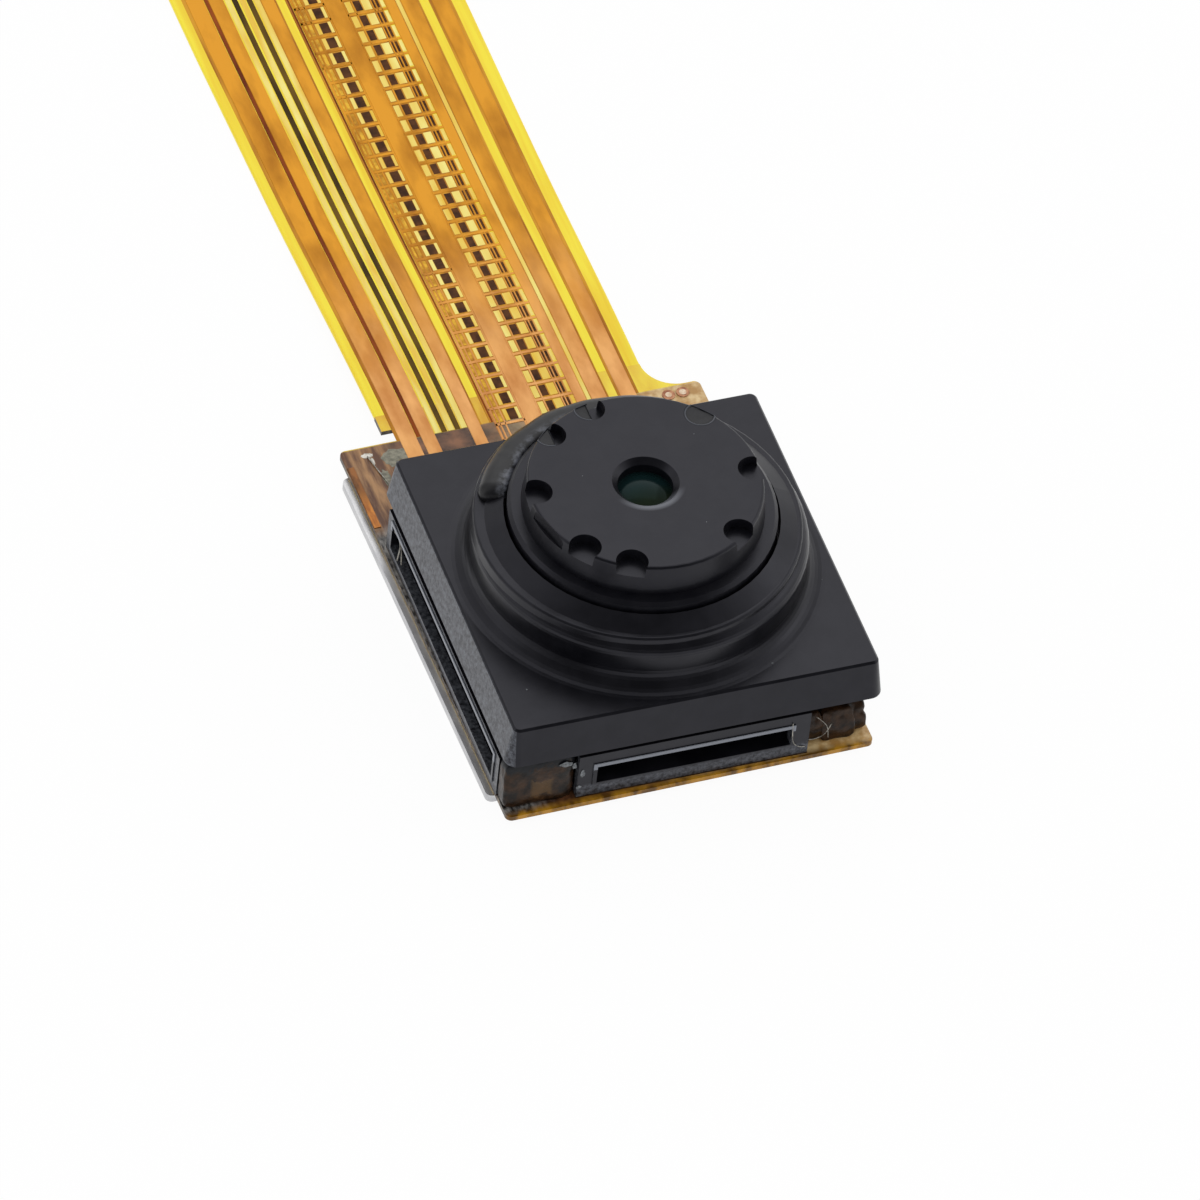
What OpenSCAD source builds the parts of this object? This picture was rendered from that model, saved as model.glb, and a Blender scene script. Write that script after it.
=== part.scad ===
// Fixed-focus camera module on a flexible circuit.
// The origin lies on the lens's axis, at the underside of the steel plate.
// +X runs along the front edge, +Y back along the tail and +Z up along the lens's axis.

/* [Holder block] */
// Side of the square block at its top edge
block_w = 8.5; // [8.4:0.1:9.5]
// Height of the block's side faces
block_h = 1.02; // [0.9:0.01:1.4]
// Width each side face leans out from top to bottom
block_draft = 0.14; // [0.04:0.01:0.2]
// Radius of the block's upright corners
block_corner_r = 0.16; // [0.1:0.02:0.5]
// Bevel round the block's top face
block_bevel = 0.05; // [0.02:0.01:0.1]

/* [Tower] */
// Width of the block's top left outside the tower
tower_margin = 0.49; // [0.4:0.01:0.6]
// Height of the tower above the block
tower_h = 1.29; // [1.1:0.01:1.6]
// Radius of the hollow blend where the tower meets the block
tower_blend_r = 0.48; // [0.2:0.02:0.6]
// Radius of the tower's rounded shoulder
tower_edge_r = 0.34; // [0.1:0.02:0.4]
// Width of the tower's shoulder outside the flat rim
rim_inset = 0.1; // [0.05:0.01:0.2]
// Height of the rim above the shoulder
rim_h = 0.1; // [0.05:0.01:0.2]
// How far the rim sits off the lens's axis, towards the back left
rim_offset = 0.09; // [0:0.01:0.12]
// Width the rim's side leans out from top to bottom
rim_draft = 0.03; // [0.02:0.01:0.05]
// Radius of the rim's top edge
rim_edge_r = 0.07; // [0.02:0.01:0.1]
// Least width of the flat rim
rim_flat_w = 0.03; // [0.02:0.01:0.1]
// Height of the collar that slopes up from the rim to the barrel
collar_h = 0.24; // [0.1:0.01:0.3]

/* [Skirt] */
// Height of the skirt, from the glue line to the block
skirt_h = 1.35; // [1.25:0.01:1.6]
// How far the skirt's walls stand in from the block's lower edge
skirt_inset = 0.5; // [0.3:0.02:0.6]
// Height of the front boss
front_boss_h = 1.26; // [1.1:0.01:1.28]
// Height of the left boss
left_boss_h = 1.16; // [1.1:0.01:1.24]
// How far the bosses stand in from the block's lower edge
boss_inset = 0; // [0:0.01:0.1]
// Distance from each end of the front boss to the block's side
front_boss_side = 1.69; // [1.4:0.01:1.8]
// Distance from each end of the left boss to the skirt's corner
left_boss_side = 0.01; // [0.01:0.01:0.1]
// Depth of both pockets
pocket_depth = 0.42; // [0.2:0.02:0.5]
// Width of the jambs beside the front pocket
front_jamb_w = 0.435; // [0.3:0.005:0.6]
// Height of the front pocket
front_pocket_h = 0.5; // [0.3:0.01:0.6]
// Height of the rail under the front pocket
front_rail_h = 0.38; // [0.3:0.01:0.4]
// Width of the jambs beside the left pocket
left_jamb_w = 0.33; // [0.2:0.01:0.8]
// Height of the left pocket
left_pocket_h = 0.71; // [0.5:0.01:0.75]
// Height of the rail under the left pocket
left_rail_h = 0.26; // [0.2:0.01:0.3]
// Width of the raised lip round each pocket
lip_w = 0.09; // [0.05:0.01:0.12]
// How far the lip stands out
lip_h = 0.03; // [0.01:0.01:0.04]
// Thickness of the walls round the sensor
cavity_wall = 0.42; // [0.3:0.02:0.5]

/* [Lens seat] */
// Clearance round the barrel's thread
thread_clearance = 0.04; // [0.02:0.01:0.08]
// Width added round the bore at its mouth
mouth_relief = 0.03; // [0.02:0.01:0.08]
// Depth of the wider mouth
mouth_depth = 0.35; // [0.1:0.05:0.5]
// Gap left under the barrel for setting the focus
focus_gap = 0.2; // [0.1:0.02:0.26]
// Thickness of the ledge between the barrel and the filter
ledge_t = 0.25; // [0.2:0.01:0.3]
// Width of the ledge under the barrel
ledge_w = 0.8; // [0.6:0.05:1]

/* [Barrel] */
// Thickness of the tower's wall outside the barrel's thread
tower_wall = 0.76; // [0.7:0.01:0.9]
// Height of the barrel's face above the tower
barrel_stand = 1.23; // [1:0.01:1.5]
// Distance of the face's edge in from the thread
face_inset = 0.37; // [0.34:0.01:0.5]
// Width of the stop shelf
shelf_w = 0.3; // [0.25:0.01:0.33]
// Depth of the stop shelf below the face
shelf_drop = 0.77; // [0.6:0.01:0.9]
// Bevel on the stop shelf's edge
shelf_bevel = 0.08; // [0.03:0.01:0.12]
// Radius of the face's rounded edge
face_edge_r = 0.07; // [0.03:0.01:0.1]
// Radius of each grip notch
notch_r = 0.36; // [0.3:0.01:0.42]
// Distance of the notches' middles in from the face's edge
notch_inset = 0.17; // [0.13:0.01:0.21]
// Depth of the notches' floors below the face
notch_depth = 0.28; // [0.15:0.01:0.6]
// Depth of the flat where the moulding gate was cut off
gate_flat = 0.05; // [0.02:0.01:0.05]
// Height of that flat
gate_h = 0.3; // [0.1:0.02:0.4]
// Thickness of the barrel's face
face_t = 0.35; // [0.3:0.01:0.5]
// Radius of the aperture
aperture_r = 0.62; // [0.5:0.01:0.7]
// Width of the aperture's bevel
aperture_bevel = 0.13; // [0.05:0.01:0.16]

/* [Lens stack] */
// Radius of the front element
front_lens_r = 1.25; // [1.1:0.01:1.35]
// Thickness of the barrel's wall round the rear element
barrel_wall = 0.64; // [0.5:0.01:0.8]
// Thickness of each element's flange
lens_t = 0.54; // [0.5:0.01:0.6]
// Clearance round each element
lens_fit = 0.01; // [0.005:0.005:0.02]
// Thickness of each spacer ring
spacer_t = 0.06; // [0.05:0.01:0.08]
// Width of each spacer ring
spacer_w = 0.4; // [0.3:0.01:0.45]
// Thickness of the retainer ring
retainer_t = 0.15; // [0.12:0.01:0.2]

/* [Filter and sensor] */
// Width of the cavity's roof left round the square infrared filter
filter_margin = 0.87; // [0.7:0.01:1]
// Thickness of the infrared filter
filter_t = 0.3; // [0.2:0.01:0.35]
// Clearance round the infrared filter
filter_fit = 0.05; // [0.02:0.01:0.1]
// Gap between the sensor and each side wall of its cavity
sensor_side_gap = 0.47; // [0.4:0.01:0.7]
// Gap between the sensor and the front and back walls
sensor_end_gap = 0.57; // [0.4:0.01:0.8]
// Thickness of the sensor's silicon
die_t = 0.25; // [0.2:0.01:0.3]
// Height of the wall between the silicon and its glass
dam_h = 0.05; // [0.03:0.01:0.06]
// Width of the wall between the silicon and its glass
dam_w = 0.4; // [0.3:0.05:0.6]
// Thickness of the sensor's cover glass
cover_t = 0.4; // [0.3:0.01:0.45]
// Height of the solder balls
ball_h = 0.12; // [0.1:0.01:0.14]
// Radius of the solder balls
ball_r = 0.1; // [0.08:0.01:0.11]
// Spacing of the solder balls
ball_pitch = 0.65; // [0.6:0.01:0.75]
// Length of each capacitor
capacitor_l = 0.6; // [0.5:0.02:0.7]
// Clearance on each side of a capacitor
capacitor_fit = 0.105; // [0.08:0.005:0.15]
// Length of each capacitor's end cap
capacitor_end = 0.13; // [0.1:0.01:0.15]

/* [Flexible board] */
// Turn of the board, its steel and its tail against the holder, in degrees
board_turn = 0.9; // [0:0.1:1.5]
// Thickness of the steel plate
steel_t = 0.2; // [0.15:0.01:0.3]
// Distance of the steel's front edge in from the board's
steel_front_gap = 0.85; // [0.6:0.01:1]
// Distance of the steel's back edge in from the board's
steel_back_gap = 0.67; // [0.4:0.01:0.9]
// Distance of the steel's right edge in from the board's
steel_right_gap = 0.17; // [0.1:0.01:0.3]
// Distance the steel reaches past the board's left edge
steel_left_reach = 0.15; // [0.05:0.01:0.25]
// Thickness of the bonding sheet on the steel
bond_t = 0.04; // [0.03:0.01:0.06]
// Thickness of the flexible board
board_t = 0.12; // [0.1:0.01:0.2]
// How far the board reaches past the block's top edge at the front
board_front_lip = 0.26; // [0.14:0.01:0.3]
// How far the board reaches past the block's top edge at the left
board_left_lip = 0.17; // [0.15:0.01:0.25]
// How far the block's top edge reaches past the board at the right
board_right_inset = 0.05; // [0:0.01:0.1]
// Length of the board behind the block
board_behind = 2.72; // [2.5:0.01:2.8]
// Radius of the board's outer corners
board_corner_r = 0.15; // [0.05:0.01:0.25]
// Width of the relief slot at the tail's left shoulder
slot_w = 0.35; // [0.3:0.01:0.55]
// How far the relief slot digs into the tail
slot_depth = 0.5; // [0.3:0.01:0.6]
// Radius of the tail's right shoulder
shoulder_r = 0.8; // [0.6:0.01:0.82]
// Thickness of the glue line under the skirt
glue_t = 0.04; // [0.02:0.01:0.06]
// Radius of the test pads
pad_r = 0.15; // [0.12:0.01:0.18]
// Thickness of the bare copper pads
pad_t = 0.02; // [0.01:0.01:0.03]

/* [Glue] */
// Height of the thread-lock bead above the rim
bead_h = 0.42; // [0.3:0.01:0.5]
// Angle at which the bead starts, from the right
bead_start = 57; // [40:1:70]
// Angle at which the bead ends, from the right
bead_end = 157; // [140:1:170]
// Clearance between the bead and the barrel
bead_gap = 0.01; // [0.005:0.005:0.02]
// Height of the left corner's glue
left_glue_h = 1.3; // [1.1:0.01:1.38]
// Height of the right corner's glue
right_glue_h = 0.85; // [0.6:0.01:1]

/* [Tail] */
// Distance of the tail's left edge in from the board's
tail_left_step = 1.145; // [1:0.005:1.3]
// Distance of the tail's right edge in from the board's
tail_right_step = 1.125; // [1:0.005:1.3]
// Width the tail gains behind the board
tail_flare = 0.3; // [0:0.01:0.5]
// Number of contacts at the far end
contact_count = 22; // [16:1:24]
// Spacing of the contacts
contact_pitch = 0.5; // [0.4:0.1:0.5]
// Width of each contact
contact_w = 0.3; // [0.2:0.01:0.35]
// Length of each contact
contact_l = 3.5; // [3:0.1:4]
// Length of the backing plate at the far end
backing_l = 4.6; // [4.2:0.1:5]

/* [Hidden] */
$fn = 96;
// A small overlap that lets cutters pass right through
eps = 0.01;

// Heights of the layers, from the bottom up
board_z = steel_t + bond_t;
board_top = board_z + board_t;
skirt_z = board_top + glue_t;
block_z = skirt_z + skirt_h;
block_top = block_z + block_h;
tower_top = block_top + tower_h;
face_z = tower_top + barrel_stand;
shelf_z = face_z - shelf_drop;

// Radii of the tower and the barrel, from the outside in
tower_r = block_w / 2 - tower_margin;
rim_r = tower_r - rim_inset;
slope_r = rim_r - rim_offset - rim_edge_r - rim_flat_w;
barrel_r = tower_r - tower_wall;
bore_r = barrel_r + thread_clearance;
mouth_r = bore_r + mouth_relief;
neck_r = barrel_r - shelf_w;
face_r = barrel_r - face_inset;
notch_pitch_r = face_r - notch_inset;
ledge_opening_r = barrel_r - ledge_w;

// The lens stack hangs from the barrel's face, each element wider than the one before it
lens_step = (barrel_r - barrel_wall - front_lens_r) / 3;
lens_pitch = lens_t + spacer_t;
stack_top = face_z - face_t;
retainer_top = stack_top - 4 * lens_t - 3 * spacer_t;
barrel_bottom = retainer_top - retainer_t;

// The seat under the barrel, the filter and the sensor's cavity
bore_floor = barrel_bottom - focus_gap;
filter_top = bore_floor - ledge_t;
cavity_top = filter_top - filter_t;

// Plan sizes of the holder
lower_w = block_w + 2 * block_draft;
skirt_w = lower_w - 2 * skirt_inset;
boss_reach = lower_w / 2 - boss_inset;
front_boss_w = lower_w - 2 * front_boss_side;
left_boss_w = skirt_w - 2 * left_boss_side;
front_pocket_w = front_boss_w - 2 * front_jamb_w;
left_pocket_w = left_boss_w - 2 * left_jamb_w;
cavity_w = skirt_w - 2 * cavity_wall;
filter_w = cavity_w - 2 * filter_margin;
// Corner blocks of glue fill the space beside the front boss
corner_gap = 0.02;

// The sensor's plan size, and the heights of its layers
sensor_w = cavity_w - 2 * sensor_side_gap;
sensor_d = cavity_w - 2 * sensor_end_gap;
die_z = board_top + ball_h;
dam_z = die_z + die_t;
cover_z = dam_z + dam_h;
balls_per_side = floor((sensor_d - 3 * ball_r) / ball_pitch);
capacitor_w = sensor_side_gap - 2 * capacitor_fit;
capacitor_y = sensor_d / 4;

// Plan of the board, its steel and the root of its tail
board_front = block_w / 2 + board_front_lip;
board_left = block_w / 2 + board_left_lip;
board_right = block_w / 2 - board_right_inset;
board_back = block_w / 2 + board_behind;
steel_w = board_left + board_right + steel_left_reach - steel_right_gap;
steel_l = board_front + board_back - steel_front_gap - steel_back_gap;
tail_left = tail_left_step - board_left;
tail_right = board_right - tail_right_step;
tail_w = tail_right - tail_left;
tail_x = (tail_left + tail_right) / 2;
pad_side = 0.48;
pad_back = 0.27;
strip_side = 0.02;
strip_w = 0.16;

// The tail's route from the end of its root, as distance back and height
tail_route = [[0, 0.3], [1.2, 0.29], [2.7, 0.25], [4.2, 0.18], [5.7, 0.11], [7.2, 0.07], [9.2, 0.06],
              [12.2, 0.06], [15.2, 0.06], [18.2, 0.06], [21.2, 0.06], [24.2, 0.06], [27.2, 0.06], [30.2, 0.06],
              [33.2, 0.06], [36.2, 0.06], [39.2, 0.06], [42.2, 0.06], [44.2, 0.07], [46.2, 0.13], [47.7, 0.21],
              [49.2, 0.26], [51.2, 0.26], [53.8, 0.26]];
route_last = len(tail_route) - 1;
tail_start = board_back + shoulder_r + 0.03;
tail_end = tail_start + tail_route[route_last][0];
tail_end_z = tail_route[route_last][1];
contact_end_w = (contact_count + 1) * contact_pitch;
// Where along the route the slight flare ends, the widening to the contacts starts, and the width is full
flare_to = 12.2;
widen_from = 42.2;
widen_to = 46.2;

black_plastic = "#3c3c44";
barrel_plastic = "#42424c";
amber_film = "#c8861e";
brown_epoxy = "#5a4020";
bare_copper = "#e0a050";
bright_steel = "#b4b4b0";
clear_glass = "#9cc4b8";

// Points of an arc, from angle a0 to a1
function arc(cx, cy, r, a0, a1, steps = 8) =
    [for (i = [0:steps]) let (a = a0 + (a1 - a0) * i / steps) [cx + r * cos(a), cy + r * sin(a)]];

// A square plate with round upright corners, centred on the axis
module rounded_plate(w, d, h, r) {
    linear_extrude(h)
        rounded_square(w, d, r);
}

module rounded_square(w, d, r) {
    square([w - 2 * r, d], center = true);
    square([w, d - 2 * r], center = true);
    for (x = [-1, 1], y = [-1, 1])
        translate([x * (w / 2 - r), y * (d / 2 - r)])
            circle(r);
}

// A square block whose sides lean out by draft from top to bottom
module drafted_block(w, h, r, draft) {
    straight = w - 2 * r;
    side = [[-w / 2, h], [-w / 2 - draft, 0], [w / 2 + draft, 0], [w / 2, h]];
    for (turn = [0, 90])
        rotate([90, 0, turn])
            translate([0, 0, -straight / 2])
                linear_extrude(straight)
                    polygon(side);
    for (x = [-1, 1], y = [-1, 1])
        translate([x * straight / 2, y * straight / 2, 0])
            cylinder(h = h, r1 = r + draft, r2 = r);
}

module block() {
    translate([0, 0, block_z])
        drafted_block(block_w, block_h - block_bevel, block_corner_r, block_draft);
    translate([0, 0, block_top - block_bevel])
        drafted_block(block_w - 2 * block_bevel, block_bevel, block_corner_r - block_bevel, block_bevel);
}

// The blend is no wider than the margin of block round the tower. The collar is centred on the barrel,
// and the rim a little off it.
module tower() {
    blend = min(tower_blend_r, block_w / 2 - block_bevel - tower_r);
    shoulder_top = tower_h - rim_h;
    translate([0, 0, block_top]) {
        rotate_extrude()
            polygon(concat([[0, -eps], [tower_r + blend, -eps]],
                           arc(tower_r + blend, blend, blend, 270, 180),
                           arc(tower_r - tower_edge_r, shoulder_top - tower_edge_r, tower_edge_r, 0, 90),
                           [[0, shoulder_top]]));
        translate([-rim_offset * sin(35), rim_offset * cos(35), 0])
            rotate_extrude()
                polygon(concat([[0, shoulder_top - tower_edge_r], [rim_r + rim_draft, shoulder_top - tower_edge_r]],
                               arc(rim_r - rim_edge_r, tower_h - rim_edge_r, rim_edge_r, 0, 90, 4),
                               [[0, tower_h]]));
        rotate_extrude()
            polygon([[0, shoulder_top], [slope_r + eps, shoulder_top],
                     [slope_r + eps, tower_h - eps * collar_h / (slope_r - mouth_r)],
                     [mouth_r - eps, tower_h + collar_h + eps * collar_h / (slope_r - mouth_r)],
                     [0, tower_h + collar_h + eps * collar_h / (slope_r - mouth_r)]]);
    }
}

// A boss against the block's front or left side, with a lip round its pocket
module boss(w, h, pocket_w, pocket_h, rail_h) {
    translate([-w / 2, -boss_reach, skirt_z])
        cube([w, boss_reach - skirt_w / 2 + cavity_wall / 2, h]);
    translate([-pocket_w / 2 - lip_w, -boss_reach - lip_h, skirt_z + rail_h - lip_w])
        cube([pocket_w + 2 * lip_w, lip_h + eps, pocket_h + 2 * lip_w]);
}

module boss_pocket(pocket_w, pocket_h, rail_h) {
    translate([-pocket_w / 2, -boss_reach - lip_h - eps, skirt_z + rail_h])
        cube([pocket_w, pocket_depth + lip_h + eps, pocket_h]);
}

module lens_holder() {
    color(black_plastic)
        difference() {
            union() {
                block();
                tower();
                translate([0, 0, skirt_z])
                    rounded_plate(skirt_w, skirt_w, skirt_h + eps, block_corner_r);
                boss(front_boss_w, front_boss_h, front_pocket_w, front_pocket_h, front_rail_h);
                rotate(-90)
                    boss(left_boss_w, left_boss_h, left_pocket_w, left_pocket_h, left_rail_h);
            }
            boss_pocket(front_pocket_w, front_pocket_h, front_rail_h);
            rotate(-90)
                boss_pocket(left_pocket_w, left_pocket_h, left_rail_h);
            lens_seat();
            sensor_cavity();
        }
}

module lens_seat() {
    translate([0, 0, bore_floor])
        cylinder(h = tower_top - bore_floor, r = bore_r);
    translate([0, 0, tower_top - mouth_depth])
        cylinder(h = mouth_depth + 2 * collar_h, r = mouth_r);
    translate([0, 0, filter_top - eps])
        cylinder(h = ledge_t + 2 * eps, r = ledge_opening_r);
}

module sensor_cavity() {
    filter_hole = filter_w + 2 * filter_fit;
    translate([-cavity_w / 2, -cavity_w / 2, skirt_z - eps])
        cube([cavity_w, cavity_w, cavity_top - skirt_z + eps]);
    translate([-filter_hole / 2, -filter_hole / 2, cavity_top - eps])
        cube([filter_hole, filter_hole, filter_t + eps]);
}

// Grip notches, cut down into the face's edge
notch_angles = [-5, 42, 102, 130.6, 173, 218.6, 244.3, 308.2];
gate_angle = 196;

module lens_barrel() {
    color(barrel_plastic)
        difference() {
            barrel_outside();
            for (a = notch_angles)
                rotate(a)
                    translate([notch_pitch_r, 0, face_z - notch_depth])
                        cylinder(h = notch_depth + eps, r = notch_r);
            gate_mark();
            barrel_bores();
        }
}

module barrel_outside() {
    rotate_extrude()
        polygon(concat([[0, barrel_bottom], [barrel_r, barrel_bottom], [barrel_r, shelf_z - shelf_bevel],
                        [barrel_r - shelf_bevel, shelf_z], [neck_r, shelf_z]],
                       arc(face_r - face_edge_r, face_z - face_edge_r, face_edge_r, 0, 90, 4),
                       [[0, face_z]]));
}

// The flat where the moulding gate was cut off
module gate_mark() {
    flat_w = 3 * sqrt(face_r * gate_flat);
    rotate(gate_angle)
        translate([face_r - gate_flat, -flat_w / 2, face_z - gate_h])
            cube([face_inset, flat_w, gate_h + eps]);
}

function lens_radius(i) = front_lens_r + i * lens_step;
function lens_top(i) = stack_top - i * lens_pitch;

module barrel_bores() {
    translate([0, 0, stack_top - eps])
        cylinder(h = face_t + 2 * eps, r = aperture_r);
    translate([0, 0, face_z - aperture_bevel])
        cylinder(h = aperture_bevel + eps, r1 = aperture_r, r2 = aperture_r + aperture_bevel + eps);
    for (i = [0:3]) {
        top = lens_top(i);
        bottom = i == 3 ? barrel_bottom - eps : lens_top(i + 1) - eps;
        translate([0, 0, bottom])
            cylinder(h = top - bottom, r = lens_radius(i) + lens_fit);
    }
}

// Points of a dome from its rim, at radius r and height z, to the axis. A negative rise hollows it.
function dome(r, rise, z, steps = 8) =
    let (depth = abs(rise), ball = (r * r + rise * rise) / (2 * depth))
    [for (i = [0:steps]) let (x = r * (1 - i / steps))
        [x, z + sign(rise) * (sqrt(ball * ball - x * x) - ball + depth)]];

function reversed(points) = [for (i = [len(points) - 1:-1:0]) points[i]];

// A lens with a flat flange. A front that rises is domed; a back that rises is hollow.
module lens(i, front_r, front_rise, back_r, back_rise) {
    color(clear_glass)
        translate([0, 0, lens_top(i) - lens_t])
            rotate_extrude()
                polygon(concat(reversed(dome(back_r, back_rise, 0)),
                               [[lens_radius(i), 0], [lens_radius(i), lens_t]],
                               dome(front_r, front_rise, lens_t)));
}

module spacer(i, inner_r) {
    translate([0, 0, lens_top(i) - lens_pitch])
        ring(lens_radius(i), inner_r, spacer_t);
}

module ring(outer_r, inner_r, h) {
    color(black_plastic)
        difference() {
            cylinder(h = h, r = outer_r);
            translate([0, 0, -eps])
                cylinder(h = h + 2 * eps, r = inner_r);
        }
}

module front_lens() {
    lens(0, aperture_r - 2 * lens_fit, 0.22 * lens_t, 0.6 * lens_radius(0), 0.22 * lens_t);
}

module second_lens() {
    lens(1, 0.5 * lens_radius(1), 0.1 * lens_t, 0.65 * lens_radius(1), 0.28 * lens_t);
}

module third_lens() {
    lens(2, 0.58 * lens_radius(2), 0.1 * lens_t, 0.7 * lens_radius(2), 0.37 * lens_t);
}

module rear_lens() {
    lens(3, 0.64 * lens_radius(3), 0.1 * lens_t, 0.76 * lens_radius(3), -0.19 * lens_t);
}

module front_spacer() {
    spacer(0, lens_radius(0) - spacer_w);
}

module middle_spacer() {
    spacer(1, lens_radius(1) - spacer_w);
}

module rear_spacer() {
    spacer(2, lens_radius(2) - spacer_w);
}

module lens_retainer() {
    translate([0, 0, barrel_bottom])
        ring(lens_radius(3), lens_radius(3) - spacer_w, retainer_t);
}

// The bead's section outside the barrel. It lies on the rim and the collar, and share lowers its top.
function bead_section(share) =
    let (inner_r = barrel_r + bead_gap, outer_r = tower_r - rim_edge_r, h = share * bead_h,
         crown_r = inner_r + shelf_bevel, swell = share * (outer_r - crown_r))
    concat([[inner_r, collar_h], [mouth_r, collar_h], [slope_r, 0]],
           [for (a = [0:15:90]) [crown_r + swell * cos(a), h * sin(a)]],
           [[inner_r, h]]);

// A bead of black thread-lock that bridges the bore's mouth, with a lower step at each end
module barrel_glue() {
    end_turn = 4;
    color(black_plastic)
        translate([0, 0, tower_top])
            for (part = [[0, 0.86], [end_turn, 1]])
                rotate(bead_start + part[0])
                    rotate_extrude(angle = bead_end - bead_start - 2 * part[0])
                        polygon(bead_section(part[1]));
}

module ir_filter() {
    color("#78a0b4")
        translate([-filter_w / 2, -filter_w / 2, cavity_top])
            cube([filter_w, filter_w, filter_t]);
}

module sensor_plate(z, h) {
    translate([-sensor_w / 2, -sensor_d / 2, z])
        cube([sensor_w, sensor_d, h]);
}

module sensor_cover_glass() {
    color(clear_glass)
        sensor_plate(cover_z, cover_t);
}

module sensor_dam() {
    color("#303030")
        difference() {
            sensor_plate(dam_z, dam_h);
            translate([dam_w - sensor_w / 2, dam_w - sensor_d / 2, dam_z - eps])
                cube([sensor_w - 2 * dam_w, sensor_d - 2 * dam_w, dam_h + 2 * eps]);
        }
}

module sensor_die() {
    color("#4a4460")
        sensor_plate(die_z, die_t);
}

// One ring of flattened balls near the silicon's edge
module sensor_solder_balls() {
    span = (balls_per_side - 1) * ball_pitch;
    color(bright_steel)
        for (i = [0:balls_per_side - 1], j = [0:balls_per_side - 1])
            if (i == 0 || j == 0 || i == balls_per_side - 1 || j == balls_per_side - 1)
                translate([i * ball_pitch - span / 2, j * ball_pitch - span / 2, board_top])
                    solder_ball();
}

module solder_ball() {
    intersection() {
        translate([0, 0, ball_h / 2])
            sphere(ball_r, $fn = 24);
        cylinder(h = ball_h, r = 2 * ball_r);
    }
}

// Two capacitors stand on each side, between the sensor and the holder's wall
module at_capacitors() {
    side_x = (sensor_w + cavity_w) / 4;
    for (x = [-side_x, side_x], y = [-capacitor_y, capacitor_y])
        translate([x, y, board_top])
            children();
}

module capacitors() {
    body_l = capacitor_l - 2 * capacitor_end;
    color("#8c6a4a")
        at_capacitors()
            translate([-capacitor_w / 2, -body_l / 2, 0])
                cube([capacitor_w, body_l, capacitor_w]);
}

module capacitor_ends() {
    color(bright_steel)
        at_capacitors()
            for (y = [-capacitor_l / 2, capacitor_l / 2 - capacitor_end])
                translate([-capacitor_w / 2, y, 0])
                    cube([capacitor_w, capacitor_end, capacitor_w]);
}

// The glue line has the outline of the skirt's walls and bosses
module holder_adhesive() {
    color(brown_epoxy)
        translate([0, 0, board_top])
            linear_extrude(glue_t)
                difference() {
                    union() {
                        rounded_square(skirt_w, skirt_w, block_corner_r);
                        translate([-front_boss_w / 2, -boss_reach])
                            square([front_boss_w, cavity_wall + skirt_inset - boss_inset - eps]);
                        translate([-boss_reach, -left_boss_w / 2])
                            square([cavity_wall + skirt_inset - boss_inset - eps, left_boss_w]);
                    }
                    square(cavity_w, center = true);
                }
}

// A slumped block of epoxy, wider at its foot, with its back on the skirt
module glue_block(x0, x1, depth, h) {
    slump = 0.12;
    back = -skirt_w / 2 - corner_gap / 2;
    color(brown_epoxy)
        translate([x0, back, board_top])
            rotate([90, 0, 90])
                linear_extrude(x1 - x0)
                    polygon([[0, 0], [-depth, 0], [-depth, slump], [slump - depth, h - slump],
                             [2 * slump - depth, h], [0, h]]);
}

module left_corner_glue() {
    glue_block(-boss_reach + corner_gap, -front_boss_w / 2 - corner_gap, skirt_inset - 0.06, left_glue_h);
}

module right_corner_glue() {
    glue_block(front_boss_w / 2 + 0.4, skirt_w / 2, skirt_inset - 0.2, right_glue_h);
}

// The board's outline: a square head, and the root of the tail with its relief slot and round shoulder
module board_outline() {
    head_w = board_left + board_right;
    head_l = board_front + board_back;
    rotate(board_turn)
        difference() {
            union() {
                translate([(board_right - board_left) / 2, (board_back - board_front) / 2])
                    rounded_square(head_w, head_l, board_corner_r);
                translate([tail_left, board_back - eps])
                    square([tail_w, tail_start - board_back + eps]);
                translate([tail_right - eps, board_back - eps])
                    square([shoulder_r + eps, shoulder_r + eps]);
            }
            translate([tail_right + shoulder_r, board_back + shoulder_r])
                circle(shoulder_r);
            translate([tail_left - eps, board_back])
                square([slot_depth - slot_w / 2 + eps, slot_w]);
            translate([tail_left + slot_depth - slot_w / 2, board_back + slot_w / 2])
                circle(slot_w / 2);
        }
}

module flex_board() {
    color(amber_film)
        translate([0, 0, board_z])
            linear_extrude(board_t)
                board_outline();
}

// Two round pads near the back right corner, and a bare strip along the left edge
module test_pads() {
    pad_pitch = 2 * pad_r + 0.04;
    color(bare_copper)
        translate([0, 0, board_top])
            rotate(board_turn) {
                for (x = [0, -pad_pitch])
                    translate([board_right - pad_side + x, board_back - pad_back, 0])
                        cylinder(h = pad_t, r = pad_r);
                translate([strip_side - board_left, block_w / 2 + 2 * block_draft, 0])
                    cube([strip_w, board_behind - 2 * pad_back - 2 * block_draft, pad_t]);
            }
}

module steel_outline(margin = 0) {
    rotate(board_turn)
        translate([steel_w / 2 - board_left - steel_left_reach, board_back - steel_back_gap - steel_l / 2])
            rounded_square(steel_w - 2 * margin, steel_l - 2 * margin, board_corner_r);
}

module steel_stiffener() {
    color(bright_steel)
        linear_extrude(steel_t)
            steel_outline();
}

// The bonding sheet is cut a little smaller than the steel, and no wider than the board
module stiffener_adhesive() {
    color("#c8b48c")
        translate([0, 0, steel_t])
            linear_extrude(bond_t)
                intersection() {
                    steel_outline(0.05);
                    board_outline();
                }
}

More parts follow.
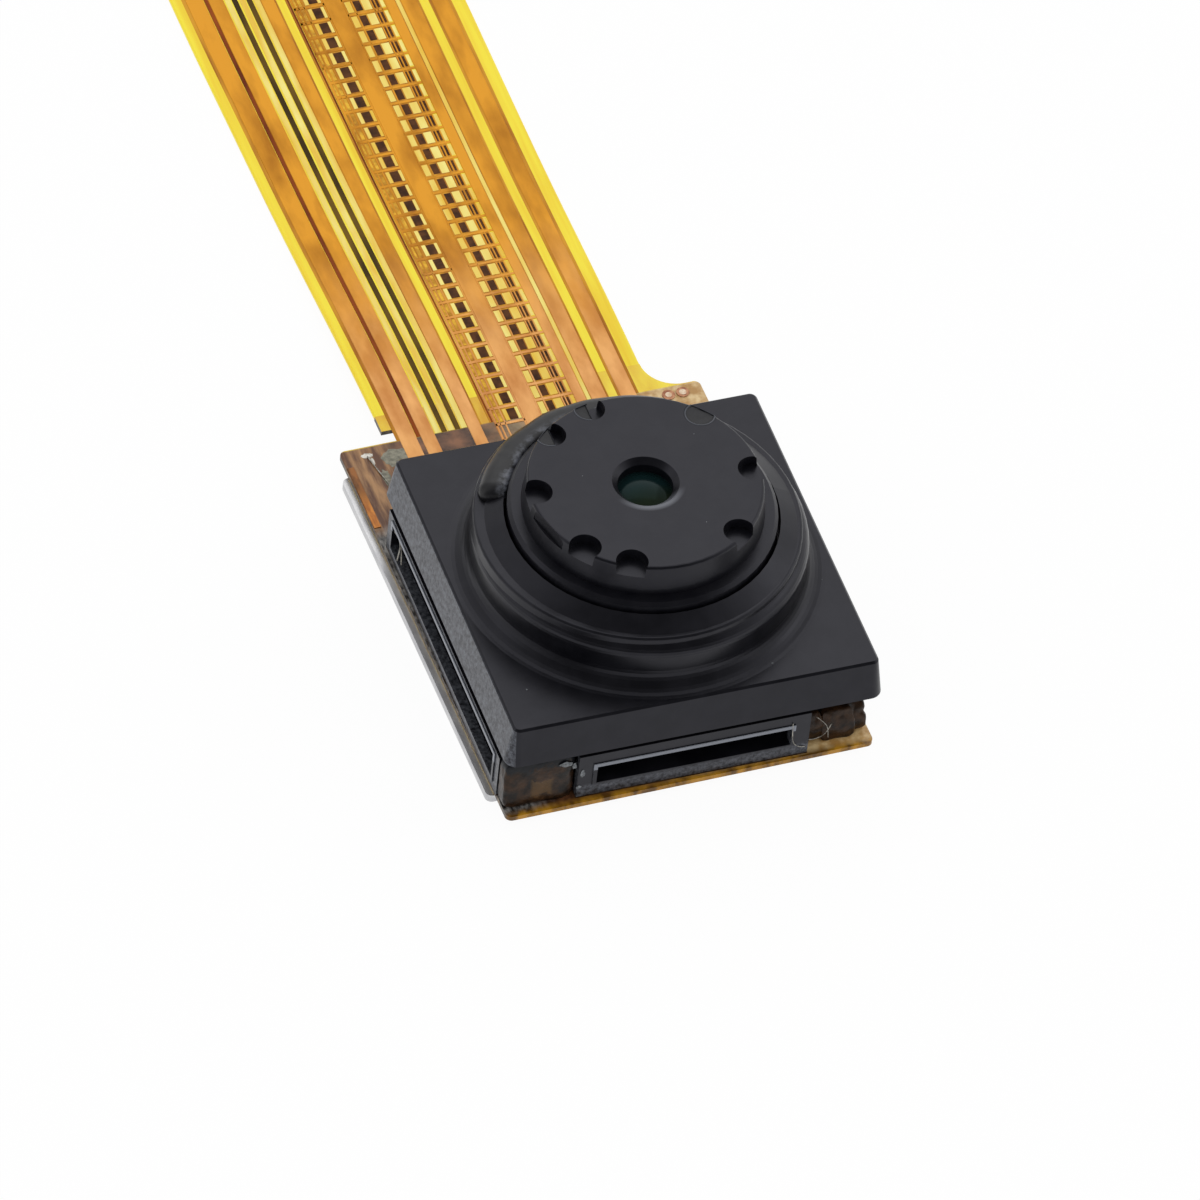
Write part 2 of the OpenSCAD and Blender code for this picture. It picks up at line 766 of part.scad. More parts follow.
// Half the tail's width at a place along it
function tail_half_w(y) =
    let (far_w = tail_w + tail_flare * min(1, y / flare_to),
         widen = max(0, min(1, (y - widen_from) / (widen_to - widen_from))))
    (far_w + (contact_end_w - far_w) * widen) / 2;

// Slope of the route at a point, from its neighbours, in degrees
function route_slope(i) =
    let (a = tail_route[max(0, i - 1)], b = tail_route[min(route_last, i + 1)])
    i == 0 || i == route_last ? 0 : atan2(b[1] - a[1], b[0] - a[0]);

// An eight-sided flat section across the route at one of its points
function tail_ring(i) =
    let (p = tail_route[i], w = tail_half_w(p[0]), t = board_t / 2, c = board_t / 4, s = route_slope(i),
         flat = [[w - c, -t], [w, -t + c], [w, t - c], [w - c, t],
                 [c - w, t], [-w, t - c], [-w, c - t], [c - w, -t]])
    [for (q = flat) [tail_x + q[0], tail_start + p[0] - q[1] * sin(s), p[1] + q[1] * cos(s)]];

module flex_tail() {
    sides = 8;
    points = [for (i = [0:route_last]) each tail_ring(i)];
    walls = [for (i = [0:route_last - 1], k = [0:sides - 1])
             let (a = i * sides + k, b = i * sides + (k + 1) % sides)
             [a, a + sides, b + sides, b]];
    first_end = [for (k = [0:sides - 1]) k];
    last_end = [for (k = [sides - 1:-1:0]) route_last * sides + k];
    color(amber_film)
        rotate(board_turn)
            polyhedron(points, concat(walls, [first_end], [last_end]));
}

module contact_stiffener() {
    color("#e6e2d2")
        rotate(board_turn)
            translate([tail_x - contact_end_w / 2, tail_end - backing_l, 0])
                cube([contact_end_w, backing_l, tail_end_z - board_t / 2]);
}

module contact_fingers() {
    first_x = tail_x - (contact_count - 1) * contact_pitch / 2;
    end_margin = 0.1;
    color("gold")
        rotate(board_turn)
            for (i = [0:contact_count - 1])
                translate([first_x + i * contact_pitch - contact_w / 2, tail_end - end_margin - contact_l,
                           tail_end_z + board_t / 2])
                    cube([contact_w, contact_l, pad_t]);
}

lens_holder();
lens_barrel();
front_lens();
front_spacer();
second_lens();
middle_spacer();
third_lens();
rear_spacer();
rear_lens();
lens_retainer();
barrel_glue();
ir_filter();
sensor_cover_glass();
sensor_dam();
sensor_die();
sensor_solder_balls();
capacitors();
capacitor_ends();
holder_adhesive();
left_corner_glue();
right_corner_glue();
flex_board();
test_pads();
stiffener_adhesive();
steel_stiffener();
flex_tail();
contact_stiffener();
contact_fingers();
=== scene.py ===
# A fixed-focus camera module: a black moulded holder and lens barrel on a flexible circuit with a steel back.
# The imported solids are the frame. This script gives them their finishes and adds what is printed, etched or glued.

import math

import bmesh
import bpy
from mathutils import Matrix, Vector, noise


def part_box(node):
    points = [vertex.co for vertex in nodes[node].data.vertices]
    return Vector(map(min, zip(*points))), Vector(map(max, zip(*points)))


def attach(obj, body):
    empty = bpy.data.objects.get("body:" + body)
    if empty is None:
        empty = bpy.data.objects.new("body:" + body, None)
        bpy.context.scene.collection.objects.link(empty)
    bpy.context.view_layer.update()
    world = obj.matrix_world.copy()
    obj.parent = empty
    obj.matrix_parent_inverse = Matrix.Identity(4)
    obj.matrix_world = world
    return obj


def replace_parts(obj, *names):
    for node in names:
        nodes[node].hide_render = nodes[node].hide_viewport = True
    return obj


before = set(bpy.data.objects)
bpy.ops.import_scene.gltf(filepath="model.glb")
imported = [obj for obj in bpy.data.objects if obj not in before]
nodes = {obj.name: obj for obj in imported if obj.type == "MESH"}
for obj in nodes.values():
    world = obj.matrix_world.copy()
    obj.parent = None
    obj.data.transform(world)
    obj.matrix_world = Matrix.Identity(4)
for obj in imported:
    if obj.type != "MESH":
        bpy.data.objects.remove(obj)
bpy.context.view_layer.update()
MM = 0.001


# Camera. It stands at the front left, nearly half way up, and far away with a long lens,
# so that the square block keeps its sides almost parallel. It is rolled a little to one side.
camera_turn, camera_drop, camera_roll = math.radians(-23.57), math.radians(43.38), math.radians(6.71)
camera_aim = Vector((-0.37, 0.89, 0.64)) * MM
camera_distance = 320 * MM
camera = bpy.data.objects.new("camera", bpy.data.cameras.new("camera"))
bpy.context.scene.collection.objects.link(camera)
bpy.context.scene.camera = camera
camera.data.sensor_width = 36
camera.data.lens = 431.8
camera.data.clip_start, camera.data.clip_end = 0.02, 10
camera_axes = (Matrix.Rotation(camera_turn, 3, "Z") @ Matrix.Rotation(camera_drop, 3, "X")
               @ Matrix.Rotation(camera_roll, 3, "Z"))
camera.matrix_world = (Matrix.Translation(camera_aim + camera_axes @ Vector((0, 0, camera_distance)))
                       @ camera_axes.to_4x4())


# The tail's film: two layers of polyimide with copper between, punched to shape. It lies straight and drops
# from the board to the table. Bare polyimide is clear amber, and over a white table it glows bright yellow.
board_turn = Matrix.Rotation(math.radians(0.9), 3, "Z")
film_t = 0.12
tail_x, tail_w, tail_flare, end_w = -0.1, 6.35, 0.3, 11.5
flare_to, widen_from, widen_to = 20, 50, 54
tail_route = [(7.8, 0.3), (9, 0.29), (10.5, 0.25), (12, 0.18), (13.5, 0.11), (15, 0.07), (17, 0.06), (20, 0.06),
              (23, 0.06), (26, 0.06), (29, 0.06), (32, 0.06), (35, 0.06), (38, 0.06), (41, 0.06), (44, 0.06),
              (47, 0.06), (50, 0.06), (52, 0.07), (54, 0.13), (55.5, 0.21), (57, 0.26), (59, 0.26), (61.6, 0.26)]
tail_start, tail_end = tail_route[0][0], tail_route[-1][0]


def tail_half_w(along):
    """Half the tail's width at a distance back, in mm."""
    flare = tail_flare * min(1, max(0, along - tail_start) / (flare_to - tail_start))
    widen = min(1, max(0, (along - widen_from) / (widen_to - widen_from)))
    return (tail_w + flare + (end_w - tail_w - flare) * widen) / 2


def between(t, start, end, leaving, arriving):
    """A smooth curve's point at a share t of the way between two points, from its slopes at both."""
    return ((2 * t**3 - 3 * t**2 + 1) * start + (t**3 - 2 * t**2 + t) * leaving
            + (3 * t**2 - 2 * t**3) * end + (t**3 - t**2) * arriving)


def tail_height(along):
    """Height of the film's middle, on one smooth curve through the route's points, in mm."""
    along = min(max(along, tail_start), tail_end)
    last = len(tail_route) - 1
    i = min(last - 1, max(k for k in range(last + 1) if tail_route[k][0] <= along))
    (y0, z0), (y1, z1) = tail_route[i], tail_route[i + 1]
    before, after = tail_route[max(0, i - 1)], tail_route[min(last, i + 2)]
    slope0 = 0 if i == 0 else (z1 - before[1]) / (y1 - before[0]) * (y1 - y0)
    slope1 = 0 if i == last - 1 else (after[1] - z0) / (after[0] - y0) * (y1 - y0)
    return between((along - y0) / (y1 - y0), z0, z1, slope0, slope1)


def on_tail(share, along, lift):
    """The point at a share of the tail's width from its left edge, lifted off the film's top, from mm to m."""
    across = tail_x + (2 * share - 1) * tail_half_w(along)
    return board_turn @ Vector((across, along, tail_height(along) + film_t / 2 + lift)) * MM


def linear(code):
    """An sRGB hex colour as linear RGBA."""
    parts = [int(code[i:i + 2], 16) / 255 for i in (1, 3, 5)]
    return (*[c / 12.92 if c <= 0.04045 else ((c + 0.055) / 1.055) ** 2.4 for c in parts], 1)


def add(tree, kind, inputs=None, **settings):
    """Adds a node with its settings. Each of its inputs gets a value, or a link from another node's output.

    A colour Mix takes its share at input 0 and its two colours at 6 and 7, and gives the result at output 2.
    """
    made = tree.nodes.new(kind)
    for name, value in settings.items():
        setattr(made, name, value)
    for name, value in (inputs or {}).items():
        if isinstance(value, bpy.types.NodeSocket):
            tree.links.new(value, made.inputs[name])
        else:
            made.inputs[name].default_value = value
    return made


def new_material(name, roughness, **sockets):
    """A material with its plain numbers on the shader's own sockets, whose names have _ for a space here."""
    made = bpy.data.materials.new(name)
    made.use_nodes = True
    shader = made.node_tree.nodes["Principled BSDF"]
    shader.inputs["Roughness"].default_value = roughness
    for name, value in sockets.items():
        shader.inputs[name.replace("_", " ")].default_value = value
    return made, made.node_tree, shader


def patchy(tree, size_mm, colour_a, colour_b, low=0.35, high=0.65, detail=3, stretch=(1, 1, 1)):
    """A colour that drifts between two, in patches of a real size."""
    place = add(tree, "ShaderNodeTexCoord").outputs["Object"]
    scaled = add(tree, "ShaderNodeMapping", {"Vector": place, "Scale": stretch}).outputs[0]
    field = add(tree, "ShaderNodeTexNoise", {"Vector": scaled, "Scale": 1 / (size_mm * MM), "Detail": detail})
    share = add(tree, "ShaderNodeMapRange", {"Value": field.outputs["Fac"], "From Min": low, "From Max": high})
    mixed = add(tree, "ShaderNodeMix", {0: share.outputs[0], 6: colour_a, 7: colour_b}, data_type="RGBA")
    return mixed.outputs[2]


def roughen(tree, shader, size_mm, depth_mm, detail=4, stretch=(1, 1, 1)):
    """Fine relief of a real size and depth on a shader."""
    place = add(tree, "ShaderNodeTexCoord").outputs["Object"]
    scaled = add(tree, "ShaderNodeMapping", {"Vector": place, "Scale": stretch}).outputs[0]
    field = add(tree, "ShaderNodeTexNoise", {"Vector": scaled, "Scale": 1 / (size_mm * MM), "Detail": detail})
    bump = add(tree, "ShaderNodeBump", {"Height": field.outputs["Fac"], "Distance": depth_mm * MM})
    tree.links.new(bump.outputs[0], shader.inputs["Normal"])


def two_tone(name, roughness, tints, patches, relief=None, **sockets):
    """A material that drifts between two hex tints. Patches go to patchy, and relief, if any, to roughen."""
    made, tree, shader = new_material(name, roughness, **sockets)
    tint = patchy(tree, colour_a=linear(tints[0]), colour_b=linear(tints[1]), **patches)
    tree.links.new(tint, shader.inputs["Base Color"])
    if relief:
        roughen(tree, shader, **relief)
    return made


def new_piece(name, mesh, material, smooth=False):
    """An object that rides on the module, with one material."""
    piece = bpy.data.objects.new(name, mesh)
    bpy.context.scene.collection.objects.link(piece)
    mesh.materials.append(material)
    mesh.polygons.foreach_set("use_smooth", [smooth] * len(mesh.polygons))
    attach(piece, "root")
    return piece


# Clear polyimide, cast as a film: glossy, with faint streaks drawn out along the tail by the press
polyimide = two_tone("clear_polyimide_film", 0.28, ("#ffea42", "#f5cb30"),
                     {"size_mm": 0.22, "low": 0.4, "high": 0.8, "stretch": (1, 0.05, 1), "detail": 4},
                     {"size_mm": 0.3, "depth_mm": 0.006, "stretch": (1, 0.1, 1)}, Specular_IOR_Level=0.15)

station_step = 0.6
station_count = math.ceil((tail_end - tail_start) / station_step)
stations = [tail_start + i * station_step for i in range(station_count)] + [tail_end]
edge_cut, film_sides = film_t / 4, 8
film_points, film_faces = [], []
for along in stations:
    width = 2 * tail_half_w(along)
    inset = edge_cut / width
    for share, lift in ((inset, -film_t), (1 - inset, -film_t), (1, edge_cut - film_t), (1, -edge_cut),
                        (1 - inset, 0), (inset, 0), (0, -edge_cut), (0, edge_cut - film_t)):
        film_points.append(on_tail(share, along, lift))
for i in range(station_count):
    for k in range(film_sides):
        near, beside = film_sides * i + k, film_sides * i + (k + 1) % film_sides
        film_faces.append((near, beside, beside + film_sides, near + film_sides))
film_faces.append(tuple(range(film_sides - 1, -1, -1)))
film_faces.append(tuple(film_sides * station_count + k for k in range(film_sides)))
film_mesh = bpy.data.meshes.new("tail_film")
film_mesh.from_pydata(film_points, [], film_faces)
tail_film = new_piece("tail_film", film_mesh, polyimide)
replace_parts(tail_film, "flex_tail")


# The tail's circuit: etched copper lines with bare gaps between, and two ladders that carry pairs of signals
# between cross bars 0.5 mm apart. All of it lies under a thin amber cover film, which slopes its edges.
copper_lift, gap_lift, cell_lift, bar_lift = 0.014, 0.004, 0.0075, 0.011
circuit_from, circuit_to = 4.3, 50
head_edge = 6.95
bar_pitch, bar_w = 0.5, 0.07


def strips(name, places, lift, material, step=0.75, splay=0.006):
    """One mesh of flat strips with sloped sides. Each place is its shares of the width and its stretch along."""
    points, faces = [], []
    for left, right, start, end in places:
        count = max(1, round((end - start) / step))
        first = len(points)
        for i in range(count + 1):
            along = start + (end - start) * i / count
            slope = splay / (2 * tail_half_w(along))
            points += [on_tail(left - slope, along, 0), on_tail(left + slope, along, lift),
                       on_tail(right - slope, along, lift), on_tail(right + slope, along, 0)]
        for i in range(count):
            a = first + 4 * i
            faces += [(a + k, a + k + 1, a + k + 5, a + k + 4) for k in range(3)]
        faces += [(first, first + 3, first + 2, first + 1),
                  (first + 4 * count, first + 4 * count + 1, first + 4 * count + 2, first + 4 * count + 3)]
    mesh = bpy.data.meshes.new(name)
    mesh.from_pydata(points, [], faces)
    return new_piece(name, mesh, material)


# Etched copper under the cover film: a satin metal, pink near the board and turned to amber by thicker film beyond
covered_copper, tree, shader = new_material("copper_under_cover_film", 0.42, Metallic=0.25, Specular_IOR_Level=0.15)
pink = patchy(tree, 0.5, linear("#eeb06c"), linear("#cc8848"), stretch=(1, 0.4, 1), detail=6)
amber = patchy(tree, 0.7, linear("#e09a26"), linear("#b0700e"), low=0.42, high=0.68, stretch=(1, 0.35, 1), detail=6)
place = add(tree, "ShaderNodeTexCoord").outputs["Object"]
distance_back = add(tree, "ShaderNodeSeparateXYZ", {0: place}).outputs["Y"]
is_far = add(tree, "ShaderNodeMapRange", {"Value": distance_back, "From Min": 8 * MM, "From Max": 13 * MM})
copper_tint = add(tree, "ShaderNodeMix", {0: is_far.outputs[0], 6: pink, 7: amber}, data_type="RGBA")
tree.links.new(copper_tint.outputs[2], shader.inputs["Base Color"])
roughen(tree, shader, 0.25, 0.004, stretch=(1, 0.2, 1))

# Bare film in the gaps. It is dark olive in some narrow gaps and red brown in others, brown or amber between the
# bars, and amber beside a line, where the thin strips are painted shade at the line's edge. The narrowest gaps are
# painted pale yellow as a painted highlight, the glint on both their edges. A row is roughness, specular level,
# patch size in mm, how much it shrinks along the tail, and tints.
dark_olive_gap, brown_cell, amber_film_and_edge_shade, amber_window, red_gap, pale_film_and_glint = [
    two_tone(name, roughness, tints, {"size_mm": size_mm, "stretch": (1, shrink, 1)}, Specular_IOR_Level=gloss)
    for name, roughness, gloss, size_mm, shrink, tints in (
        ("dark_olive_film", 0.35, 0.08, 0.5, 0.3, ("#3c2c08", "#745618")),
        ("brown_ladder_cell", 0.35, 0.08, 0.25, 1, ("#3a200c", "#5e381a")),
        ("amber_film_and_edge_shade", 0.35, 0.15, 0.25, 0.1, ("#dc9c26", "#a8660e")),
        ("amber_ladder_cell", 0.3, 0.15, 0.2, 1, ("#f0bc34", "#b87c16")),
        ("red_brown_gap", 0.35, 0.08, 0.5, 0.3, ("#6a2a0a", "#9a4a14")),
        ("pale_film_and_painted_glint", 0.3, 0.15, 0.5, 0.2, ("#fff08c", "#f2c848")))]

# Each line, gap and rail is its left and right edge, as shares of the tail's width from its left
copper_lines = [(0.05, 0.11), (0.128, 0.178), (0.305, 0.35), (0.513, 0.575), (0.72, 0.757), (0.777, 0.832),
                (0.882, 0.938)]
# The narrowest gaps: a painted highlight, the glint on both their edges
glint_lines = [(0.184, 0.202), (0.234, 0.253), (0.283, 0.302), (0.76, 0.774)]
dark_lines = [(0.208, 0.226), (0.258, 0.276)]
red_lines = [(0.113, 0.127), (0.393, 0.399)]
# The thin strips beside the copper lines are painted shade at their edges, and the two wide ones are amber film
amber_spans_and_edge_shade = [(0.038, 0.05), (0.302, 0.305), (0.35, 0.356), (0.387, 0.393), (0.757, 0.76), (0.774, 0.777),
             (0.832, 0.839), (0.873, 0.882), (0.938, 0.949), (0.411, 0.507), (0.58, 0.7)]
ladder_rails = [(0.402, 0.41), (0.418, 0.423), (0.437, 0.442), (0.507, 0.513), (0.575, 0.58), (0.606, 0.611),
                (0.673, 0.677), (0.685, 0.689), (0.7, 0.704)]
ladder_spans = [(0.402, 0.513), (0.575, 0.72)]
dark_cells = [(0.463, 0.494), (0.612, 0.637), (0.678, 0.684), (0.69, 0.699)]
pale_cells = [(0.448, 0.462), (0.495, 0.506), (0.582, 0.603), (0.641, 0.67), (0.705, 0.717)]
amber_cells = [(0.41, 0.418), (0.424, 0.436)]

# The bars repeat all along, and the cells between them begin a little before the head's back edge
bar_places = [circuit_from + bar_pitch * i for i in range(int((circuit_to - circuit_from) / bar_pitch) + 1)]
cells_early = 0.35
clear_bars = [start for start in bar_places if start > head_edge - cells_early]


def full_length(lines, start=circuit_from):
    """Lines that run from a place under the holder to the tail's wide end."""
    return [(left, right, start, circuit_to) for left, right in lines]


def cells(columns, margin):
    """One cell in each column between each pair of cross bars, this far from them."""
    return [(left, right, start + bar_w + margin, start + bar_pitch - margin)
            for left, right in columns for start in clear_bars[:-1]]


tail_copper = strips("tail_copper_lines", full_length(copper_lines), copper_lift, covered_copper)
tail_rails = strips("tail_ladder_rails", full_length(ladder_rails), bar_lift, covered_copper)
tail_bars = strips("tail_ladder_bars", [(left, right, start, start + bar_w) for left, right in ladder_spans
                                        for start in bar_places], bar_lift, covered_copper)
# Pale strips: painted glints along the narrowest gaps, and pale film in the cells
tail_pale_and_glints = strips("tail_pale_cells_and_glint_lines", full_length(glint_lines, head_edge) + cells(pale_cells, 0.035),
                   cell_lift, pale_film_and_glint)
tail_dark = strips("tail_dark_gaps", full_length(dark_lines, head_edge), gap_lift, dark_olive_gap)
tail_red = strips("tail_red_gap", full_length(red_lines, head_edge), gap_lift, red_gap)
tail_brown = strips("tail_brown_cells", cells(dark_cells, 0.05), cell_lift, brown_cell)
tail_amber = strips("tail_amber_cells", cells(amber_cells, 0.03), cell_lift, amber_window)
# Amber film, with painted shade beside the copper lines
tail_amber_and_edge_shade = strips("tail_amber_film_and_edge_shade", full_length(amber_spans_and_edge_shade, head_edge), gap_lift, amber_film_and_edge_shade)

# At the wide end each line fans out to its own contact, from two staggered rows of plated holes
contact_count, contact_from = 22, 58.05
fan_from, fan_share, stagger = 51, 0.011, 0.4
hole_setback, hole_foot_r, hole_top_r, hole_corners = 0.15, 0.1, 0.08, 20
fan = [((k + 1) / (contact_count + 1) - fan_share, (k + 1) / (contact_count + 1) + fan_share,
        fan_from - (k % 2) * stagger, contact_from) for k in range(contact_count)]
tail_fan = strips("tail_contact_lines", fan, copper_lift, covered_copper)
hole_mesh = bpy.data.meshes.new("tail_plated_holes")
shape = bmesh.new()
for k in range(contact_count):
    middle = on_tail((k + 1) / (contact_count + 1), fan_from - hole_setback - (k % 2) * stagger, copper_lift / 2)
    bmesh.ops.create_cone(shape, cap_ends=True, segments=hole_corners, radius1=hole_foot_r * MM,
                          radius2=hole_top_r * MM, depth=2 * copper_lift * MM, matrix=Matrix.Translation(middle))
shape.to_mesh(hole_mesh)
shape.free()
tail_holes = new_piece("tail_plated_holes", hole_mesh, covered_copper)

# The contacts are gold over nickel on bare copper, softly lustrous with fine lines along them from plating. A
# stiff polyimide plate backs them for the connector, dull and evenly brown.
nodes["contact_fingers"].material_slots[0].material = two_tone(
    "gold_plated_contact", 0.35, ("#f0c668", "#e0b050"), {"size_mm": 0.5},
    {"size_mm": 0.05, "depth_mm": 0.0008, "stretch": (1, 0.1, 1)}, Metallic=0.6)
nodes["contact_stiffener"].material_slots[0].material = two_tone(
    "polyimide_backing_plate", 0.45, ("#8a5a1c", "#9c6a24"), {"size_mm": 0.9}, {"size_mm": 0.08, "depth_mm": 0.002})


# The board's head: the same film, laminated to a stiff sheet and bonded to steel. Over the steel it is a deep red
# brown that pales to tan at the right, streaky at the left behind the holder and dirty grey beside it. Behind the
# steel it turns to the tail's clear yellow. Its punched edges are rough: dirty brown, and golden at the front.
board_film, tree, shader = new_material("board_cover_film", 0.3, Specular_IOR_Level=0.35)
deep_brown = patchy(tree, 0.4, linear("#3c2416"), linear("#8a5c3c"), low=0.38, high=0.66, detail=6)
tan = patchy(tree, 0.25, linear("#b88c50"), linear("#ecd09c"), detail=5)
streaky = patchy(tree, 0.16, linear("#5c361c"), linear("#b08456"), low=0.4, high=0.64, stretch=(1, 0.15, 1),
                 detail=5)
dirt = patchy(tree, 0.12, linear("#201e1e"), linear("#96938f"), low=0.4, high=0.66, stretch=(1, 0.5, 1), detail=5)
yellow = patchy(tree, 0.8, linear("#ffe640"), linear("#e2a81a"), stretch=(1, 0.3, 1), detail=5)
golden = patchy(tree, 0.3, linear("#5e3e08"), linear("#b8841e"), low=0.4, high=0.62, stretch=(1, 1, 0.5), detail=5)
side_brown = patchy(tree, 0.12, linear("#241a12"), linear("#7a6448"), low=0.42, high=0.66, detail=5)
place = add(tree, "ShaderNodeTexCoord").outputs["Object"]
across = add(tree, "ShaderNodeSeparateXYZ", {0: place}).outputs["X"]
along_board = add(tree, "ShaderNodeVectorMath", {0: place, 1: board_turn @ Vector((0, 1, 0))},
                  operation="DOT_PRODUCT").outputs["Value"]
is_beside, is_corner, is_right, is_tail, is_front = [
    add(tree, "ShaderNodeMapRange", {"Value": reading, "From Min": begins * MM, "From Max": full * MM}).outputs[0]
    for reading, begins, full in ((along_board, 4.6, 4.2), (across, -3.1, -3.7), (across, -1.5, 2.6),
                                  (along_board, head_edge - 0.02, head_edge + 0.02), (along_board, -4.3, -4.48))]
facing = add(tree, "ShaderNodeSeparateXYZ", {0: add(tree, "ShaderNodeNewGeometry").outputs["Normal"]})
flat = add(tree, "ShaderNodeMath", {0: facing.outputs["Z"]}, operation="ABSOLUTE")
is_edge = add(tree, "ShaderNodeMath", {0: flat.outputs[0], 1: 0.5}, operation="LESS_THAN").outputs[0]
corner_tint = add(tree, "ShaderNodeMix", {0: is_beside, 6: streaky, 7: dirt}, data_type="RGBA").outputs[2]
board_tint = deep_brown
for share, tint in ((is_corner, corner_tint), (is_right, tan), (is_tail, yellow), (is_edge, side_brown),
                    (is_front, golden)):
    board_tint = add(tree, "ShaderNodeMix", {0: share, 6: board_tint, 7: tint}, data_type="RGBA").outputs[2]
tree.links.new(board_tint, shader.inputs["Base Color"])
roughen(tree, shader, 0.2, 0.008)
nodes["flex_board"].material_slots[0].material = board_film

# The test pads and the strip at the left edge are bare copper in windows of the cover film, dulled by handling
# and, on the back half of the strip, stained brown by flux
pads, tree, shader = new_material("bare_copper_pad", 0.38, Metallic=0.5)
pad_tint = patchy(tree, 0.1, linear("#b88460"), linear("#8a5438"))
clean_strip = patchy(tree, 0.12, linear("#c88234"), linear("#96561c"), stretch=(1, 0.3, 1))
stained_strip = patchy(tree, 0.12, linear("#52300e"), linear("#8a5626"), stretch=(1, 0.3, 1))
spot = add(tree, "ShaderNodeSeparateXYZ", {0: add(tree, "ShaderNodeTexCoord").outputs["Object"]}).outputs
is_stained = add(tree, "ShaderNodeMapRange", {"Value": spot["Y"], "From Min": 4.9 * MM, "From Max": 5.8 * MM})
strip_tint = add(tree, "ShaderNodeMix", {0: is_stained.outputs[0], 6: clean_strip, 7: stained_strip},
                 data_type="RGBA").outputs[2]
is_strip = add(tree, "ShaderNodeMath", {0: spot["X"], 1: 0.0}, operation="LESS_THAN")
copper_tint = add(tree, "ShaderNodeMix", {0: is_strip.outputs[0], 6: pad_tint, 7: strip_tint}, data_type="RGBA")
tree.links.new(copper_tint.outputs[2], shader.inputs["Base Color"])
roughen(tree, shader, 0.06, 0.001)
nodes["test_pads"].material_slots[0].material = pads

# Each round pad is polished pale in its middle where a probe touched it. At the back left the cover film is torn:
# an olive patch of solder mask lies on it, and pale chips there are painted highlights, the glints of the torn
# corner.
# Each place is x, y, two half widths and the top, in mm.
mark_corners, mark_foot, mark_depth, raggedness = 24, 1.04, 0.012, 0.3
marks = [("pad_centres", "bare_copper", "probe_mark", 0.4, 0, ("#d8b490", "#f2dcc0"),
          [(3.72, 6.7, 0.085, 0.085, 0.384), (3.38, 6.7, 0.075, 0.075, 0.384)]),
         ("mask_patch", "amber_film", "olive_solder_mask", 0.25, raggedness, ("#5c5a48", "#8a8672"),
          [(-3.2, 6.48, 0.36, 0.27, 0.364), (-3.62, 5.9, 0.1, 0.3, 0.364)]),
         # Pale chips: painted highlights, the glints of the torn corner
         ("painted_glint_chips", "amber_film", "painted_glint_chip", 0.3, raggedness, ("#b8b2a4", "#f0ece2"),
          [(-3.84, 6.7, 0.14, 0.07, 0.366), (-3.76, 6.5, 0.035, 0.12, 0.366)])]
for name, slot, finish, roughness, ragged, tints, places in marks:
    made = two_tone(finish, roughness, tints, {"size_mm": 0.1, "detail": 5}, {"size_mm": 0.06, "depth_mm": 0.004})
    shape = bmesh.new()
    for x, y, half_x, half_y, z in places:
        top, foot = [], []
        for ring, grow, sink in ((top, 1, 0), (foot, mark_foot, mark_depth)):
            for k in range(mark_corners):
                a = math.tau * k / mark_corners
                wave = grow * (1 + ragged * noise.noise(Vector((3 * math.cos(a), 3 * math.sin(a), x))))
                ring.append(shape.verts.new(board_turn @ Vector((x + half_x * wave * math.cos(a),
                                                                 y + half_y * wave * math.sin(a), z - sink)) * MM))
        shape.faces.new(top)
        shape.faces.new(foot[::-1])
        for k in range(mark_corners):
            following = (k + 1) % mark_corners
            shape.faces.new((top[k], foot[k], foot[following], top[following]))
    mesh = bpy.data.meshes.new(name)
    shape.to_mesh(mesh)
    shape.free()
    new_piece(name, mesh, made)

# The bond to the steel is an acrylic sheet, a dull cream at its cut edge
nodes["stiffener_adhesive"].material_slots[0].material = two_tone(
    "acrylic_bond_sheet", 0.6, ("#a08a5c", "#bfae80"), {"size_mm": 0.4})


# The steel plate is stamped from stainless sheet, which stiffens the board and is bonded under it. It is a light
# satin grey, with faint lines along it from rolling.
nodes["steel_stiffener"].material_slots[0].material = two_tone(
    "stamped_stainless_steel", 0.4, ("#cfcfd0", "#b0b0b3"),
    {"size_mm": 0.25, "low": 0.35, "high": 0.7, "stretch": (1, 0.3, 1), "detail": 4},
    {"size_mm": 0.06, "depth_mm": 0.0006, "stretch": (1, 0.08, 1)}, Metallic=1.0)


# The holder is moulded in black liquid-crystal polymer with glass fibre, and is glued over the sensor. Its skin is
# smooth and satin, so that its walls mirror each other darkly. Its left and low faces are greyed in patches, partly
# scuffs from handling and partly a painted sheen where they catch the light.
def off_axis(tree, place):
    """How far a place lies from the lens's axis."""
    flat_place = add(tree, "ShaderNodeVectorMath", {0: place, 1: (1, 1, 0)}, operation="MULTIPLY").outputs[0]
    return add(tree, "ShaderNodeVectorMath", {0: flat_place}, operation="LENGTH").outputs["Value"]


